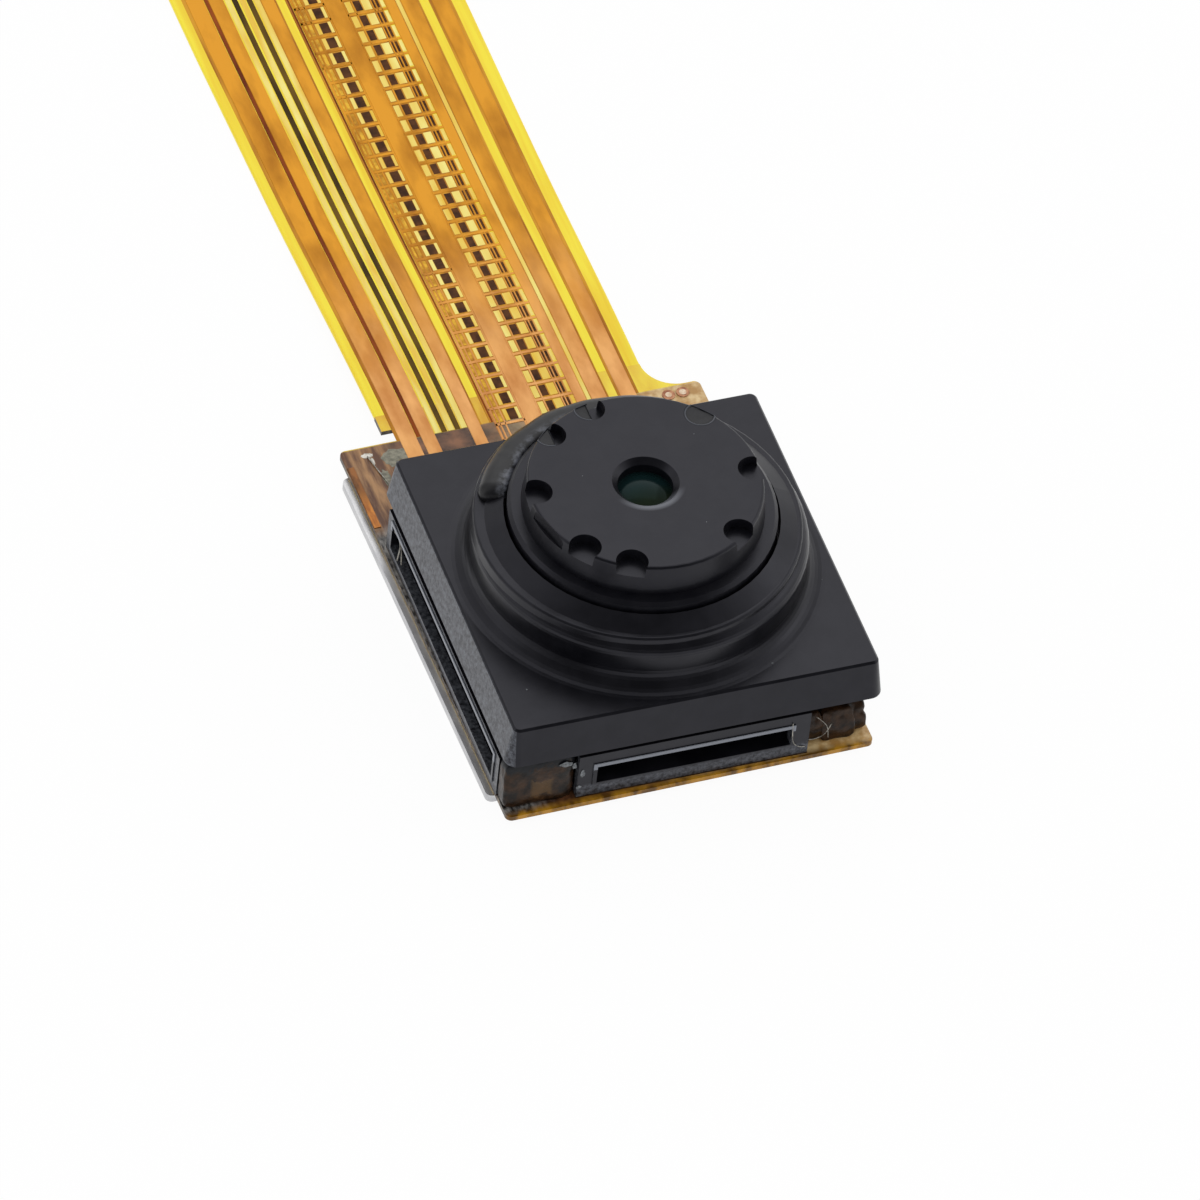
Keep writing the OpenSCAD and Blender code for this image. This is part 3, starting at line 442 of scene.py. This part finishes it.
def black_plastic(name, tint, roughness, scuffs_and_sheen):
    """Black moulded plastic. Scuffs and sheen from 0 to 1 grey the block's left and low faces in patches: partly
    scuffs, partly a painted sheen where they catch the light.

    The top lips of the windows are greyed as a painted highlight, the block's front left corner in patches as one,
    and the front of the aperture's rim as one too. The pocket inside is rough.
    """
    made, tree, shader = new_material(name, roughness, IOR=1.38, Specular_Tint=linear("#f0f0ff"))
    place = add(tree, "ShaderNodeTexCoord").outputs["Object"]
    spot = add(tree, "ShaderNodeSeparateXYZ", {0: place}).outputs
    facing = add(tree, "ShaderNodeSeparateXYZ", {0: add(tree, "ShaderNodeNewGeometry").outputs["Normal"]}).outputs
    patch_noise = add(tree, "ShaderNodeTexNoise", {"Vector": place, "Scale": 1 / (0.11 * MM), "Detail": 6,
                                            "Roughness": 0.75}).outputs["Fac"]
    mask = {}
    # Masks that rise from 0 to a full value as a reading goes from one number to another
    for part, reading, begins, ends, full in (
            ("left", facing["X"], -0.6, -0.95, 1), ("low", spot["Z"], 0.78 * MM, 0.66 * MM, 0.8),
            ("dust_and_sheen", patch_noise, 0.38, 0.76, scuffs_and_sheen), ("aperture", off_axis(tree, place), 0.9 * MM, 0.8 * MM, 1),
            ("front", spot["Y"], -0.35 * MM, -0.75 * MM, 0.6)):
        mask[part] = add(tree, "ShaderNodeMapRange", {"Value": reading, "From Min": begins, "From Max": ends,
                                                      "To Max": full}).outputs[0]
    # Masks that are 1 on one side of a level in mm
    for part, axis, side, level in (
            ("block", "Z", "LESS_THAN", 2.74), ("out_left", "X", "LESS_THAN", -4.2),
            ("out_front", "Y", "LESS_THAN", -4.2), ("lip_left", "X", "LESS_THAN", -4.4),
            ("lip_front", "Y", "LESS_THAN", -4.4), ("high", "Z", "GREATER_THAN", 1.2),
            ("in_left", "X", "GREATER_THAN", -3.9), ("in_front", "Y", "GREATER_THAN", -3.9),
            ("deep", "Z", "LESS_THAN", 1.7)):
        mask[part] = add(tree, "ShaderNodeMath", {0: spot[axis], 1: level * MM}, operation=side).outputs[0]
    # The front left corner and the windows' top lips join the grey as painted highlights
    # Masks joined by either, MAXIMUM, or by both, MULTIPLY
    for part, one, other, joined in (
            ("outside", "out_left", "out_front", "MAXIMUM"), ("corner", "out_left", "out_front", "MULTIPLY"),
            ("lip", "lip_left", "lip_front", "MAXIMUM"), ("top_lip", "lip", "high", "MULTIPLY"),
            ("worn_and_lit", "left", "low", "MAXIMUM"), ("worn_and_lit", "worn_and_lit", "corner", "MAXIMUM"),
            ("worn_and_lit", "worn_and_lit", "top_lip", "MAXIMUM"), ("worn_and_lit", "worn_and_lit", "block", "MULTIPLY"),
            ("worn_and_lit", "worn_and_lit", "outside", "MULTIPLY"), ("dust_and_sheen", "dust_and_sheen", "top_lip", "MAXIMUM"),
            ("dust_and_sheen", "dust_and_sheen", "worn_and_lit", "MULTIPLY"), ("rim", "aperture", "front", "MULTIPLY"),
            ("pocket", "in_left", "in_front", "MULTIPLY"), ("pocket", "pocket", "deep", "MULTIPLY")):
        mask[part] = add(tree, "ShaderNodeMath", {0: mask[one], 1: mask[other]}, operation=joined).outputs[0]
    colour = patchy(tree, 0.5, linear(tint), linear("#131317"))
    # The grey patches are partly scuffs and partly painted sheen and highlights; the rim's grey is a painted
    # highlight
    for part, grey in (("dust_and_sheen", "#7c8088"), ("rim", "#82858c")):
        colour = add(tree, "ShaderNodeMix", {0: mask[part], 6: colour, 7: linear(grey)}, data_type="RGBA").outputs[2]
    tree.links.new(colour, shader.inputs["Base Color"])
    polish = add(tree, "ShaderNodeMapRange", {"Value": mask["pocket"], "To Min": roughness, "To Max": 0.9})
    tree.links.new(polish.outputs[0], shader.inputs["Roughness"])
    roughen(tree, shader, 0.07, 0.0008)
    return made


nodes["lens_holder"].material_slots[0].material = black_plastic("moulded_black_lcp", "#0a0a0e", 0.3, 0.8)


# The barrel is moulded in the same kind of plastic, in a finer tool, and screwed into the holder's tower. It keeps
# its clean satin skin, and only the front of its aperture's rim is painted paler, as a highlight.
nodes["lens_barrel"].material_slots[0].material = black_plastic("barrel_black_lcp", "#0b0b10", 0.3, 0)


# The four elements are moulded lenses, dropped into the barrel one after another. The front one has a hard coating,
# whose teal and olive sheen is painted in its colour as a reflection: teal at the back and olive at the front. A
# Bevel node smooths the facets of its solid, as polishing does.
coated_lens, tree, shader = new_material("coated_front_lens", 0.05, IOR=1.22, Specular_Tint=linear("#a4d4d0"))
teal = patchy(tree, 0.9, linear("#0a1819"), linear("#102223"))
olive = patchy(tree, 0.9, linear("#12160a"), linear("#1a2010"))
spot = add(tree, "ShaderNodeSeparateXYZ", {0: add(tree, "ShaderNodeTexCoord").outputs["Object"]}).outputs
# Olive at the front and teal at the back: a painted reflection of the coating
is_back = add(tree, "ShaderNodeMapRange", {"Value": spot["Y"], "From Min": -0.35 * MM, "From Max": 0.1 * MM})
painted_coat_sheen = add(tree, "ShaderNodeMix", {0: is_back.outputs[0], 6: olive, 7: teal}, data_type="RGBA").outputs[2]
tree.links.new(painted_coat_sheen, shader.inputs["Base Color"])
polished = add(tree, "ShaderNodeBevel", {"Radius": 0.25 * MM}, samples=8)
tree.links.new(polished.outputs[0], shader.inputs["Normal"])
nodes["front_lens"].material_slots[0].material = coated_lens

# The others are clear optical plastic. Punched film, blackened so that no light strays, spaces and holds them.
moulded_lens = two_tone("moulded_clear_lens", 0.03, ("#d8ece4", "#e8f4ee"), {"size_mm": 1.2}, IOR=1.55,
                        Transmission_Weight=1.0)
for name in ("second_lens", "third_lens", "rear_lens"):
    nodes[name].material_slots[0].material = moulded_lens
black_film = two_tone("blackened_spacer_film", 0.7, ("#101012", "#1a1a1c"), {"size_mm": 0.2})
for name in ("front_spacer", "middle_spacer", "rear_spacer", "lens_retainer"):
    nodes[name].material_slots[0].material = black_film


# The bead of black thread-lock that fixes the focus. It was laid by hand over the gap round the barrel, so it
# swells from the rim up to the barrel, its crest is uneven, and it ends in a round step at the left. It cured
# smooth, and the grey flecks near the barrel are painted highlights, the glints on its inner edge.
bead_start, bead_end = math.radians(57.4), math.radians(156.6)
bead_inner, bead_outer, bead_base, bead_h = 3.012, 3.68, 4.062, 0.42
collar_inner, collar_outer, collar_h = 3.075, 3.47, 0.242
crest_in, toe_out, toe_short, skin, lip_drop, lip_foot = 0.09, 0.02, 0.04, 0.004, 0.03, 0.2
start_taper, end_taper, end_height, height_gain, roundness = 0.06, 0.04, 0.55, 0.45, 0.8
crest_mean, crest_wave, crest_ripple, toe_wander = 0.88, 0.06, 0.02, 0.03
bead_steps, bead_sides = 96, 14
bead_black, tree, shader = new_material("black_thread_lock", 0.34, IOR=1.38)
bead_tint = patchy(tree, 0.4, linear("#0e0e11"), linear("#17171b"))
place = add(tree, "ShaderNodeTexCoord").outputs["Object"]
# Grey flecks near the barrel: painted glints on the bead's inner edge
glint_noise = add(tree, "ShaderNodeTexNoise", {"Vector": place, "Scale": 1 / (0.3 * MM), "Detail": 6, "Roughness": 0.65})
near = add(tree, "ShaderNodeMapRange", {"Value": off_axis(tree, place), "From Min": 3.3 * MM, "From Max": 3.1 * MM})
bright = add(tree, "ShaderNodeMapRange", {"Value": glint_noise.outputs["Fac"], "From Min": 0.47, "From Max": 0.68})
painted_glint = add(tree, "ShaderNodeMath", {0: near.outputs[0], 1: bright.outputs[0]}, operation="MULTIPLY")
bead_mixed = add(tree, "ShaderNodeMix", {0: painted_glint.outputs[0], 6: bead_tint, 7: linear("#6e717a")}, data_type="RGBA")
tree.links.new(bead_mixed.outputs[2], shader.inputs["Base Color"])
roughen(tree, shader, 0.3, 0.004)
bead_points, bead_faces = [], []
for i in range(bead_steps + 1):
    t = i / bead_steps
    turn = bead_start + (bead_end - bead_start) * t
    swell = math.sqrt(min(1, t / start_taper, (1 - t) / end_taper))
    crest = bead_h * (crest_mean + crest_wave * noise.noise(Vector((t * 6, 0, 3)))
                      + crest_ripple * noise.noise(Vector((t * 30, 2, 3))))
    wander = toe_wander * noise.noise(Vector((t * 9, 5, 1)))
    outer = collar_outer + toe_out + (bead_outer - toe_short - collar_outer + wander) * swell
    for k in range(bead_sides + 1):
        a = math.pi / 2 * min(1, k / (bead_sides - 2))
        radius = bead_inner + crest_in + (outer - bead_inner - crest_in) * math.cos(a)
        ground = collar_h * min(1, max(0, (collar_outer - radius) / (collar_outer - collar_inner)))
        lift = max(ground + skin, crest * math.sin(a) ** roundness * (end_height + height_gain * swell))
        if k == bead_sides - 1:
            radius, lift = bead_inner, max(ground, lift - lip_drop)
        if k == bead_sides:
            radius, lift = bead_inner, lip_foot
        bead_points.append(Vector((radius * math.cos(turn), radius * math.sin(turn), bead_base + lift)) * MM)
for i in range(bead_steps):
    for k in range(bead_sides):
        a = i * (bead_sides + 1) + k
        bead_faces.append((a, a + bead_sides + 1, a + bead_sides + 2, a + 1))
for first in (0, bead_steps * (bead_sides + 1)):
    bead_faces.append(tuple(range(first, first + bead_sides + 1)))
bead_mesh = bpy.data.meshes.new("thread_lock_bead")
bead_mesh.from_pydata(bead_points, [], bead_faces)
shape = bmesh.new()
shape.from_mesh(bead_mesh)
bmesh.ops.recalc_face_normals(shape, faces=shape.faces[:])
shape.to_mesh(bead_mesh)
shape.free()
bead = new_piece("thread_lock_bead", bead_mesh, bead_black, smooth=True)
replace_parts(bead, "barrel_glue")

# Thread-lock also ran into three of the barrel's notches. It fills them nearly to the brim, with a meniscus whose
# rim is painted paler as a highlight, and it leaves an open slit at the side of two of them.
plug_black, tree, shader = new_material("thread_lock_in_notch", 0.4, IOR=1.38)
plug_tint = patchy(tree, 0.3, linear("#0e0e13"), linear("#17171c"))
spot = add(tree, "ShaderNodeSeparateXYZ", {0: add(tree, "ShaderNodeTexCoord").outputs["Object"]}).outputs
# The meniscus's rim is painted paler: a painted highlight
meniscus_highlight = add(tree, "ShaderNodeMapRange", {"Value": spot["Z"], "From Min": 5.282 * MM, "From Max": 5.294 * MM,
                                          "To Max": 0.8})
plug_mixed = add(tree, "ShaderNodeMix", {0: meniscus_highlight.outputs[0], 6: plug_tint, 7: linear("#5c5f68")}, data_type="RGBA")
tree.links.new(plug_mixed.outputs[2], shader.inputs["Base Color"])
roughen(tree, shader, 0.1, 0.002)
notch_pitch, notch_r, notch_floor, face_top, face_r = 2.46, 0.36, 5.01, 5.29, 2.63
plug_corners, plug_gap, rim_slant = 40, 0.01, 0.1
# From the notch's floor up and over the meniscus, each loop is a share of the notch's radius and a height in mm
plug_loops = [(0.985, notch_floor), (0.985, face_top - 0.006), (0.95, face_top + 0.004), (0.88, face_top - 0.004),
              (0.8, face_top - 0.022), (0.4, face_top - 0.03)]
plug_shape = bmesh.new()
for degrees, slit in ((42, 0), (102, 0.2), (130.6, 0.17)):
    turn = math.radians(degrees)
    centre = Vector((notch_pitch * math.cos(turn), notch_pitch * math.sin(turn), 0))
    loops = []
    for share, z in plug_loops:
        loop = []
        for k in range(plug_corners):
            a = math.tau * k / plug_corners
            at = centre + Vector((math.cos(a), math.sin(a), 0)) * notch_r * share
            at.x = min(at.x, centre.x + notch_r * share - slit * 2 * share)
            if at.length > face_r - plug_gap:
                at = at.normalized() * (face_r - plug_gap - (1 - share) * rim_slant)
            loop.append(plug_shape.verts.new(Vector((at.x, at.y, z)) * MM))
        loops.append(loop)
    for near, far in zip(loops, loops[1:]):
        for k in range(plug_corners):
            following = (k + 1) % plug_corners
            plug_shape.faces.new((near[k], near[following], far[following], far[k]))
    plug_shape.faces.new(loops[0][::-1])
    plug_shape.faces.new(loops[-1])
plug_mesh = bpy.data.meshes.new("notch_thread_lock")
plug_shape.to_mesh(plug_mesh)
plug_shape.free()
new_piece("notch_thread_lock", plug_mesh, plug_black)


# Inside: the infrared filter, the sensor under its glass on solder balls, and four capacitors, all soldered or
# glued in place. They are only seen if the module is opened, but each has the finish of its own material.
inner_finishes = [
    ("ir_filter", "infrared_cut_glass", ("#6f9fb4", "#8fb8c8"), 0.04, {"Transmission_Weight": 0.8, "IOR": 1.52}),
    ("sensor_cover_glass", "sensor_glass", ("#c8dcd4", "#dcece4"), 0.03, {"Transmission_Weight": 0.95, "IOR": 1.52}),
    ("sensor_dam", "dam_resin", ("#202022", "#2c2c2e"), 0.6, {}),
    ("sensor_die", "sensor_silicon", ("#3e3a52", "#5a5478"), 0.15, {"Metallic": 0.4}),
    ("sensor_solder_balls", "solder", ("#b0b2b4", "#c8cacc"), 0.3, {"Metallic": 1.0}),
    ("capacitors", "capacitor_ceramic", ("#7c5c40", "#96745a"), 0.55, {}),
    ("capacitor_ends", "tinned_capacitor_end", ("#b8b8b6", "#d0d0ce"), 0.35, {"Metallic": 1.0}),
]
for name, finish, tints, roughness, sockets in inner_finishes:
    nodes[name].material_slots[0].material = two_tone(
        finish, roughness, tints, {"size_mm": 0.3}, {"size_mm": 0.05, "depth_mm": 0.0008}, **sockets)


# The glue: a thin brown line of epoxy under the holder, and slumped lumps of it at the two front corners. It is
# clear brown with darker streaks and an uneven skin, painted near black along its top edge as the shadow under the
# holder, and a patch of the left lump is lit through. The real one is clear, and here its depth is drawn in its
# colour.
epoxy, tree, shader = new_material("brown_epoxy", 0.3, IOR=1.3)
glue_tint = patchy(tree, 0.22, linear("#120b07"), linear("#3c2818"), low=0.36, high=0.68, detail=6)
place = add(tree, "ShaderNodeTexCoord").outputs["Object"]
spot = add(tree, "ShaderNodeSeparateXYZ", {0: place}).outputs
# The height of each spot is shifted by up to 0.3 mm either way, so that the painted shadow band and the patch are
# uneven
wobble = add(tree, "ShaderNodeTexNoise", {"Vector": place, "Scale": 1 / (0.2 * MM), "Detail": 3})
height = wobble.outputs["Fac"]
for number, step in ((0.5, "SUBTRACT"), (0.6 * MM, "MULTIPLY"), (spot["Z"], "ADD")):
    height = add(tree, "ShaderNodeMath", {0: height, 1: number}, operation=step).outputs[0]
off = []
for reading, middle in ((spot["X"], -3.5), (height, 0.82)):
    away = add(tree, "ShaderNodeMath", {0: reading, 1: middle * MM}, operation="SUBTRACT").outputs[0]
    off.append(add(tree, "ShaderNodeMath", {0: away}, operation="ABSOLUTE").outputs[0])
off_middle = add(tree, "ShaderNodeMath", {0: off[0], 1: off[1]}, operation="MAXIMUM").outputs[0]
is_patch = add(tree, "ShaderNodeMapRange", {"Value": off_middle, "From Min": 0.28 * MM, "From Max": 0.2 * MM,
                                            "To Max": 0.3})
# Near black along the top: painted shadow under the holder's edge
top_shadow = add(tree, "ShaderNodeMapRange", {"Value": height, "From Min": 1.36 * MM, "From Max": 1.46 * MM})
for share, tint in ((is_patch, "#7a5c34"), (top_shadow, "#16181c")):
    glue_tint = add(tree, "ShaderNodeMix", {0: share.outputs[0], 6: glue_tint, 7: linear(tint)},
                    data_type="RGBA").outputs[2]
tree.links.new(glue_tint, shader.inputs["Base Color"])
roughen(tree, shader, 0.12, 0.014)
nodes["holder_adhesive"].material_slots[0].material = epoxy

# Each wave of a lump's skin is a depth in mm, a pitch in waves per mm, and the way its seed moves it
lump_cuts = 14
skin_waves = [(0.05, 2.2, Vector((1, 0, 0))), (0.02, 7, Vector((0, 1, 0)))]


def glue_lump(name, low, high, seed, slump, round_power=8, unevenness=1):
    """A rounded lump of glue in a box given in mm, leaning back as it rises, with an uneven skin."""
    shape = bmesh.new()
    bmesh.ops.create_cube(shape, size=1)
    bmesh.ops.subdivide_edges(shape, edges=shape.edges[:], cuts=lump_cuts, use_grid_fill=True)
    low, high = Vector(low), Vector(high)
    middle, half = (low + high) / 2, (high - low) / 2
    for point in shape.verts:
        at = 2 * point.co
        size = sum(abs(c) ** round_power for c in at) ** (1 / round_power)
        bulge = Vector([c / max(1e-6, size) for c in at])
        spot = Vector([middle[i] + half[i] * bulge[i] for i in range(3)])
        spot.y += slump * (spot.z - low.z) / (high.z - low.z)
        rough = sum(depth * noise.noise(spot * pitch + seed * away) for depth, pitch, away in skin_waves)
        spot += bulge.normalized() * rough * unevenness
        spot = Vector([min(max(spot[i], low[i]), high[i]) for i in range(3)])
        point.co = spot * MM
    mesh = bpy.data.meshes.new(name)
    shape.to_mesh(mesh)
    shape.free()
    return new_piece(name, mesh, epoxy, smooth=True)


for name, node, seed, slump in (("left_corner_epoxy", "left_corner_glue", 3, 0.1),
                                ("right_corner_epoxy", "right_corner_glue", 8, 0.12)):
    low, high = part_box(node)
    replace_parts(glue_lump(name, low / MM, high / MM, seed, slump), node)

# At the right more glue was squeezed out round the lump and fills the hollow beside the front window
low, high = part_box("right_corner_glue")
for name, low_shift, high_shift, seed, slump, unevenness in (
        ("right_corner_squeeze", (0.5, 0.1, 0), (0.27, 0.3, 0), 5, 0.06, 2.5),
        ("right_corner_fill", (-0.42, 0.02, 0), (-0.75, 0.1, -0.02), 2, 0.1, 2)):
    glue_lump(name, low / MM + Vector(low_shift), high / MM + Vector(high_shift), seed, slump, 5, unevenness)


# Crumbs of moulding flash caught in the glue beside the front window, and specks of dust on the black faces. They
# are matt grey. Each crumb is its middle and its three half widths, in mm.
crumb = two_tone("grey_crumb", 0.6, ("#43474a", "#82868a"), {"size_mm": 0.06, "detail": 4},
                 {"size_mm": 0.04, "depth_mm": 0.004})
crumbs = [(-2.98, -4.31, 1.44, 0.14, 0.02, 0.08), (-2.78, -4.32, 1.36, 0.05, 0.02, 0.1),
          (-2.6, -4.4, 1.14, 0.05, 0.012, 0.13), (-2.66, -4.4, 0.72, 0.06, 0.012, 0.05),
          (-0.4, -3.95, 2.772, 0.02, 0.02, 0.012), (1.9, -3.7, 2.772, 0.03, 0.014, 0.01),
          (-3.6, -3.1, 2.772, 0.02, 0.02, 0.01), (3.8, -1.6, 2.772, 0.018, 0.02, 0.01),
          (-3.9, 0.6, 2.772, 0.016, 0.02, 0.01), (-2.9, -4.195, 2.2, 0.02, 0.012, 0.03),
          (0.9, -1.5, 5.29, 0.014, 0.018, 0.008), (-1.3, 0.5, 5.29, 0.016, 0.012, 0.008),
          (1.5, 1.1, 5.29, 0.012, 0.014, 0.008)]
crumb_unevenness, crumb_pitch = 0.45, 1.7
crumb_shape = bmesh.new()
for x, y, z, half_x, half_y, half_z in crumbs:
    made = bmesh.ops.create_icosphere(crumb_shape, subdivisions=2, radius=1)["verts"]
    for point in made:
        rough = 1 + crumb_unevenness * noise.noise(point.co * crumb_pitch + Vector((x * 3, y, z)))
        point.co = Vector((x + half_x * rough * point.co.x, y + half_y * rough * point.co.y,
                           z + half_z * rough * point.co.z)) * MM
crumb_mesh = bpy.data.meshes.new("crumbs_and_dust")
crumb_shape.to_mesh(crumb_mesh)
crumb_shape.free()
new_piece("crumbs_and_dust", crumb_mesh, crumb)


# Hair-fine strings of glue, pulled out as the nozzle left and set pale and glossy: over the right corner's hollow,
# across the back end of the left pocket, and at the head's torn corner. Each is a radius and a course, in mm.
glue_string = two_tone("pale_glue_string", 0.3, ("#6a665e", "#bcb8ae"), {"size_mm": 0.1, "detail": 5})
strings = [(0.009, [(2.52, -4.2, 1.34), (2.62, -4.26, 0.95), (2.76, -4.28, 0.67), (3.1, -4.26, 0.7),
                    (3.3, -4.2, 0.96)]),
           (0.01, [(2.27, -4.415, 1.45), (2.31, -4.43, 0.9), (2.45, -4.42, 0.68), (2.62, -4.4, 0.6)]),
           (0.007, [(2.9, -4.22, 1.3), (3.15, -4.27, 1.0), (3.22, -4.27, 0.6)]),
           (0.016, [(-4.4, 3.1, 1.36), (-4.34, 3.16, 1.05), (-4.4, 3.12, 0.68)]),
           (0.012, [(-4.42, 3.4, 1.34), (-4.3, 3.25, 1.1), (-4.36, 2.95, 0.7)]),
           (0.014, [(-3.94, 6.6, 0.38), (-3.86, 6.2, 0.385), (-3.74, 5.7, 0.38), (-3.7, 5.3, 0.38)]),
           (0.014, [(-3.3, 6.2, 0.38), (-3.42, 5.8, 0.385), (-3.46, 5.2, 0.38)])]
string_steps, string_sides, thinning, thinning_pitch = 6, 6, 0.5, 6
string_shape = bmesh.new()
for radius, course in strings:
    rings = []
    knots = [Vector(point) for point in course]
    for i in range(len(knots) - 1):
        before, after = knots[max(0, i - 1)], knots[min(len(knots) - 1, i + 2)]
        for step in range(string_steps):
            rings.append(between(step / string_steps, knots[i], knots[i + 1], (knots[i + 1] - before) / 2,
                                 (after - knots[i]) / 2))
    rings.append(knots[-1])
    loops = []
    for i, at in enumerate(rings):
        ahead = (rings[min(i + 1, len(rings) - 1)] - rings[max(i - 1, 0)]).normalized()
        side = ahead.orthogonal().normalized()
        thin = radius * (1 + thinning * noise.noise(at * thinning_pitch))
        loop = []
        for k in range(string_sides):
            out = Matrix.Rotation(math.tau * k / string_sides, 3, ahead) @ side
            loop.append(string_shape.verts.new((at + thin * out) * MM))
        loops.append(loop)
    for near, far in zip(loops, loops[1:]):
        for k in range(string_sides):
            following = (k + 1) % string_sides
            string_shape.faces.new((near[k], near[following], far[following], far[k]))
    string_shape.faces.new(loops[0][::-1])
    string_shape.faces.new(loops[-1])
string_mesh = bpy.data.meshes.new("glue_strings")
string_shape.to_mesh(string_mesh)
string_shape.free()
new_piece("glue_strings", string_mesh, glue_string, smooth=True)


# The table: a white card that the module lies on. To the eye most of its white is its own glow, and the rest is lit
# and keeps the module's shadow. Reflections see it fall off to grey away from the module, past its lit middle.
floor_mesh = bpy.data.meshes.new("table")
floor_reach, floor_level = 3, -0.003 * MM
eye_glow, lit_to, grey_from, grey_level = 0.95, 20 * MM, 120 * MM, 0.2
floor_mesh.from_pydata([(x * floor_reach, y * floor_reach, floor_level)
                        for x, y in ((-1, -1), (1, -1), (1, 1), (-1, 1))], [], [(0, 1, 2, 3)])
floor = bpy.data.objects.new("table", floor_mesh)
bpy.context.scene.collection.objects.link(floor)
white_table = bpy.data.materials.new("white_table")
white_table.use_nodes = True
tree = white_table.node_tree
tree.nodes.clear()
rays = add(tree, "ShaderNodeLightPath")
seen = add(tree, "ShaderNodeMath", {0: rays.outputs["Is Camera Ray"], 1: eye_glow}, operation="MULTIPLY")
mirrored = add(tree, "ShaderNodeMath", {0: rays.outputs["Is Glossy Ray"], 1: rays.outputs["Is Transmission Ray"]},
               operation="MAXIMUM")
place = add(tree, "ShaderNodeTexCoord").outputs["Object"]
far = add(tree, "ShaderNodeVectorMath", {0: place}, operation="LENGTH")
near = add(tree, "ShaderNodeMapRange", {"Value": far.outputs["Value"], "From Min": lit_to, "From Max": grey_from,
                                        "To Min": 1.0, "To Max": grey_level}, interpolation_type="SMOOTHSTEP")
mirrored = add(tree, "ShaderNodeMath", {0: mirrored.outputs[0], 1: near.outputs[0]}, operation="MULTIPLY")
shown = add(tree, "ShaderNodeMath", {0: seen.outputs[0], 1: mirrored.outputs[0]}, operation="MAXIMUM")
matte = add(tree, "ShaderNodeBsdfDiffuse", {"Color": linear("#ffffff")})
glow = add(tree, "ShaderNodeEmission", {"Color": (1, 1, 1, 1), "Strength": 1.0})
blend = add(tree, "ShaderNodeMixShader", {0: shown.outputs[0], 1: matte.outputs[0], 2: glow.outputs[0]})
add(tree, "ShaderNodeOutputMaterial", {"Surface": blend.outputs[0]})
floor_mesh.materials.append(white_table)


# The surround: a white tent, even to the eye. Gloss sees it darker towards the front, where a camera would stand,
# and a little darker at the left, so that black plastic stays black and its edges show.
surround = bpy.data.worlds.new("white_surround")
bpy.context.scene.world = surround
surround.use_nodes = True
tree = surround.node_tree
tree.nodes.clear()
rays = add(tree, "ShaderNodeLightPath")
mirrored = add(tree, "ShaderNodeMath", {0: rays.outputs["Is Glossy Ray"], 1: rays.outputs["Is Transmission Ray"]},
               operation="MAXIMUM")
shown = add(tree, "ShaderNodeMath", {0: rays.outputs["Is Camera Ray"], 1: mirrored.outputs[0]}, operation="MAXIMUM")
level = add(tree, "ShaderNodeMapRange", {"Value": shown.outputs[0], "To Min": 0.8, "To Max": 1.0})
direction = add(tree, "ShaderNodeTexCoord").outputs["Generated"]
shades = []
# A shade's middle as a direction, where it begins and is full as that direction's cosine, and how dark it is
for middle, begins, full, depth in (((-0.27, -0.8, 0.53), 0.25, 0.75, 0.88), ((-0.76, 0.64, 0.0), 0.6, 0.95, 0.3)):
    toward = add(tree, "ShaderNodeVectorMath", {0: direction, 1: Vector(middle).normalized()},
                 operation="DOT_PRODUCT")
    shades.append(add(tree, "ShaderNodeMapRange", {"Value": toward.outputs["Value"], "From Min": begins,
                                                   "From Max": full, "To Max": depth},
                      interpolation_type="SMOOTHSTEP").outputs[0])
shade = add(tree, "ShaderNodeMath", {0: shades[0], 1: shades[1]}, operation="MAXIMUM")
shade = add(tree, "ShaderNodeMath", {0: shade.outputs[0], 1: rays.outputs["Is Glossy Ray"]}, operation="MULTIPLY")
level = add(tree, "ShaderNodeMath", {0: level.outputs[0], 1: shade.outputs[0]}, operation="SUBTRACT")
sky = add(tree, "ShaderNodeBackground", {"Color": (1, 1, 1, 1), "Strength": level.outputs[0]})
add(tree, "ShaderNodeOutputWorld", {"Surface": sky.outputs[0]})


# The lamps: a large soft one overhead at the back, a weak low one at the left and a small one at the right. Each
# is a place and a side in metres, and a power in watts.
soft_lights = [("back_light", (0.08, 0.3, 0.32), 0.34, 0.24), ("left_light", (-0.4, 0.1, 0.12), 0.2, 0.05),
               ("right_light", (0.36, 0.0, 0.2), 0.16, 0.08)]
for name, position, side, power in soft_lights:
    lamp = bpy.data.lights.new(name, "AREA")
    lamp.shape = "SQUARE"
    lamp.size = side
    lamp.energy = power
    stand = bpy.data.objects.new(name, lamp)
    bpy.context.scene.collection.objects.link(stand)
    stand.matrix_world = Matrix.Translation(position) @ Vector(position).to_track_quat("Z", "Y").to_matrix().to_4x4()

bpy.context.scene.view_settings.view_transform = "Standard"
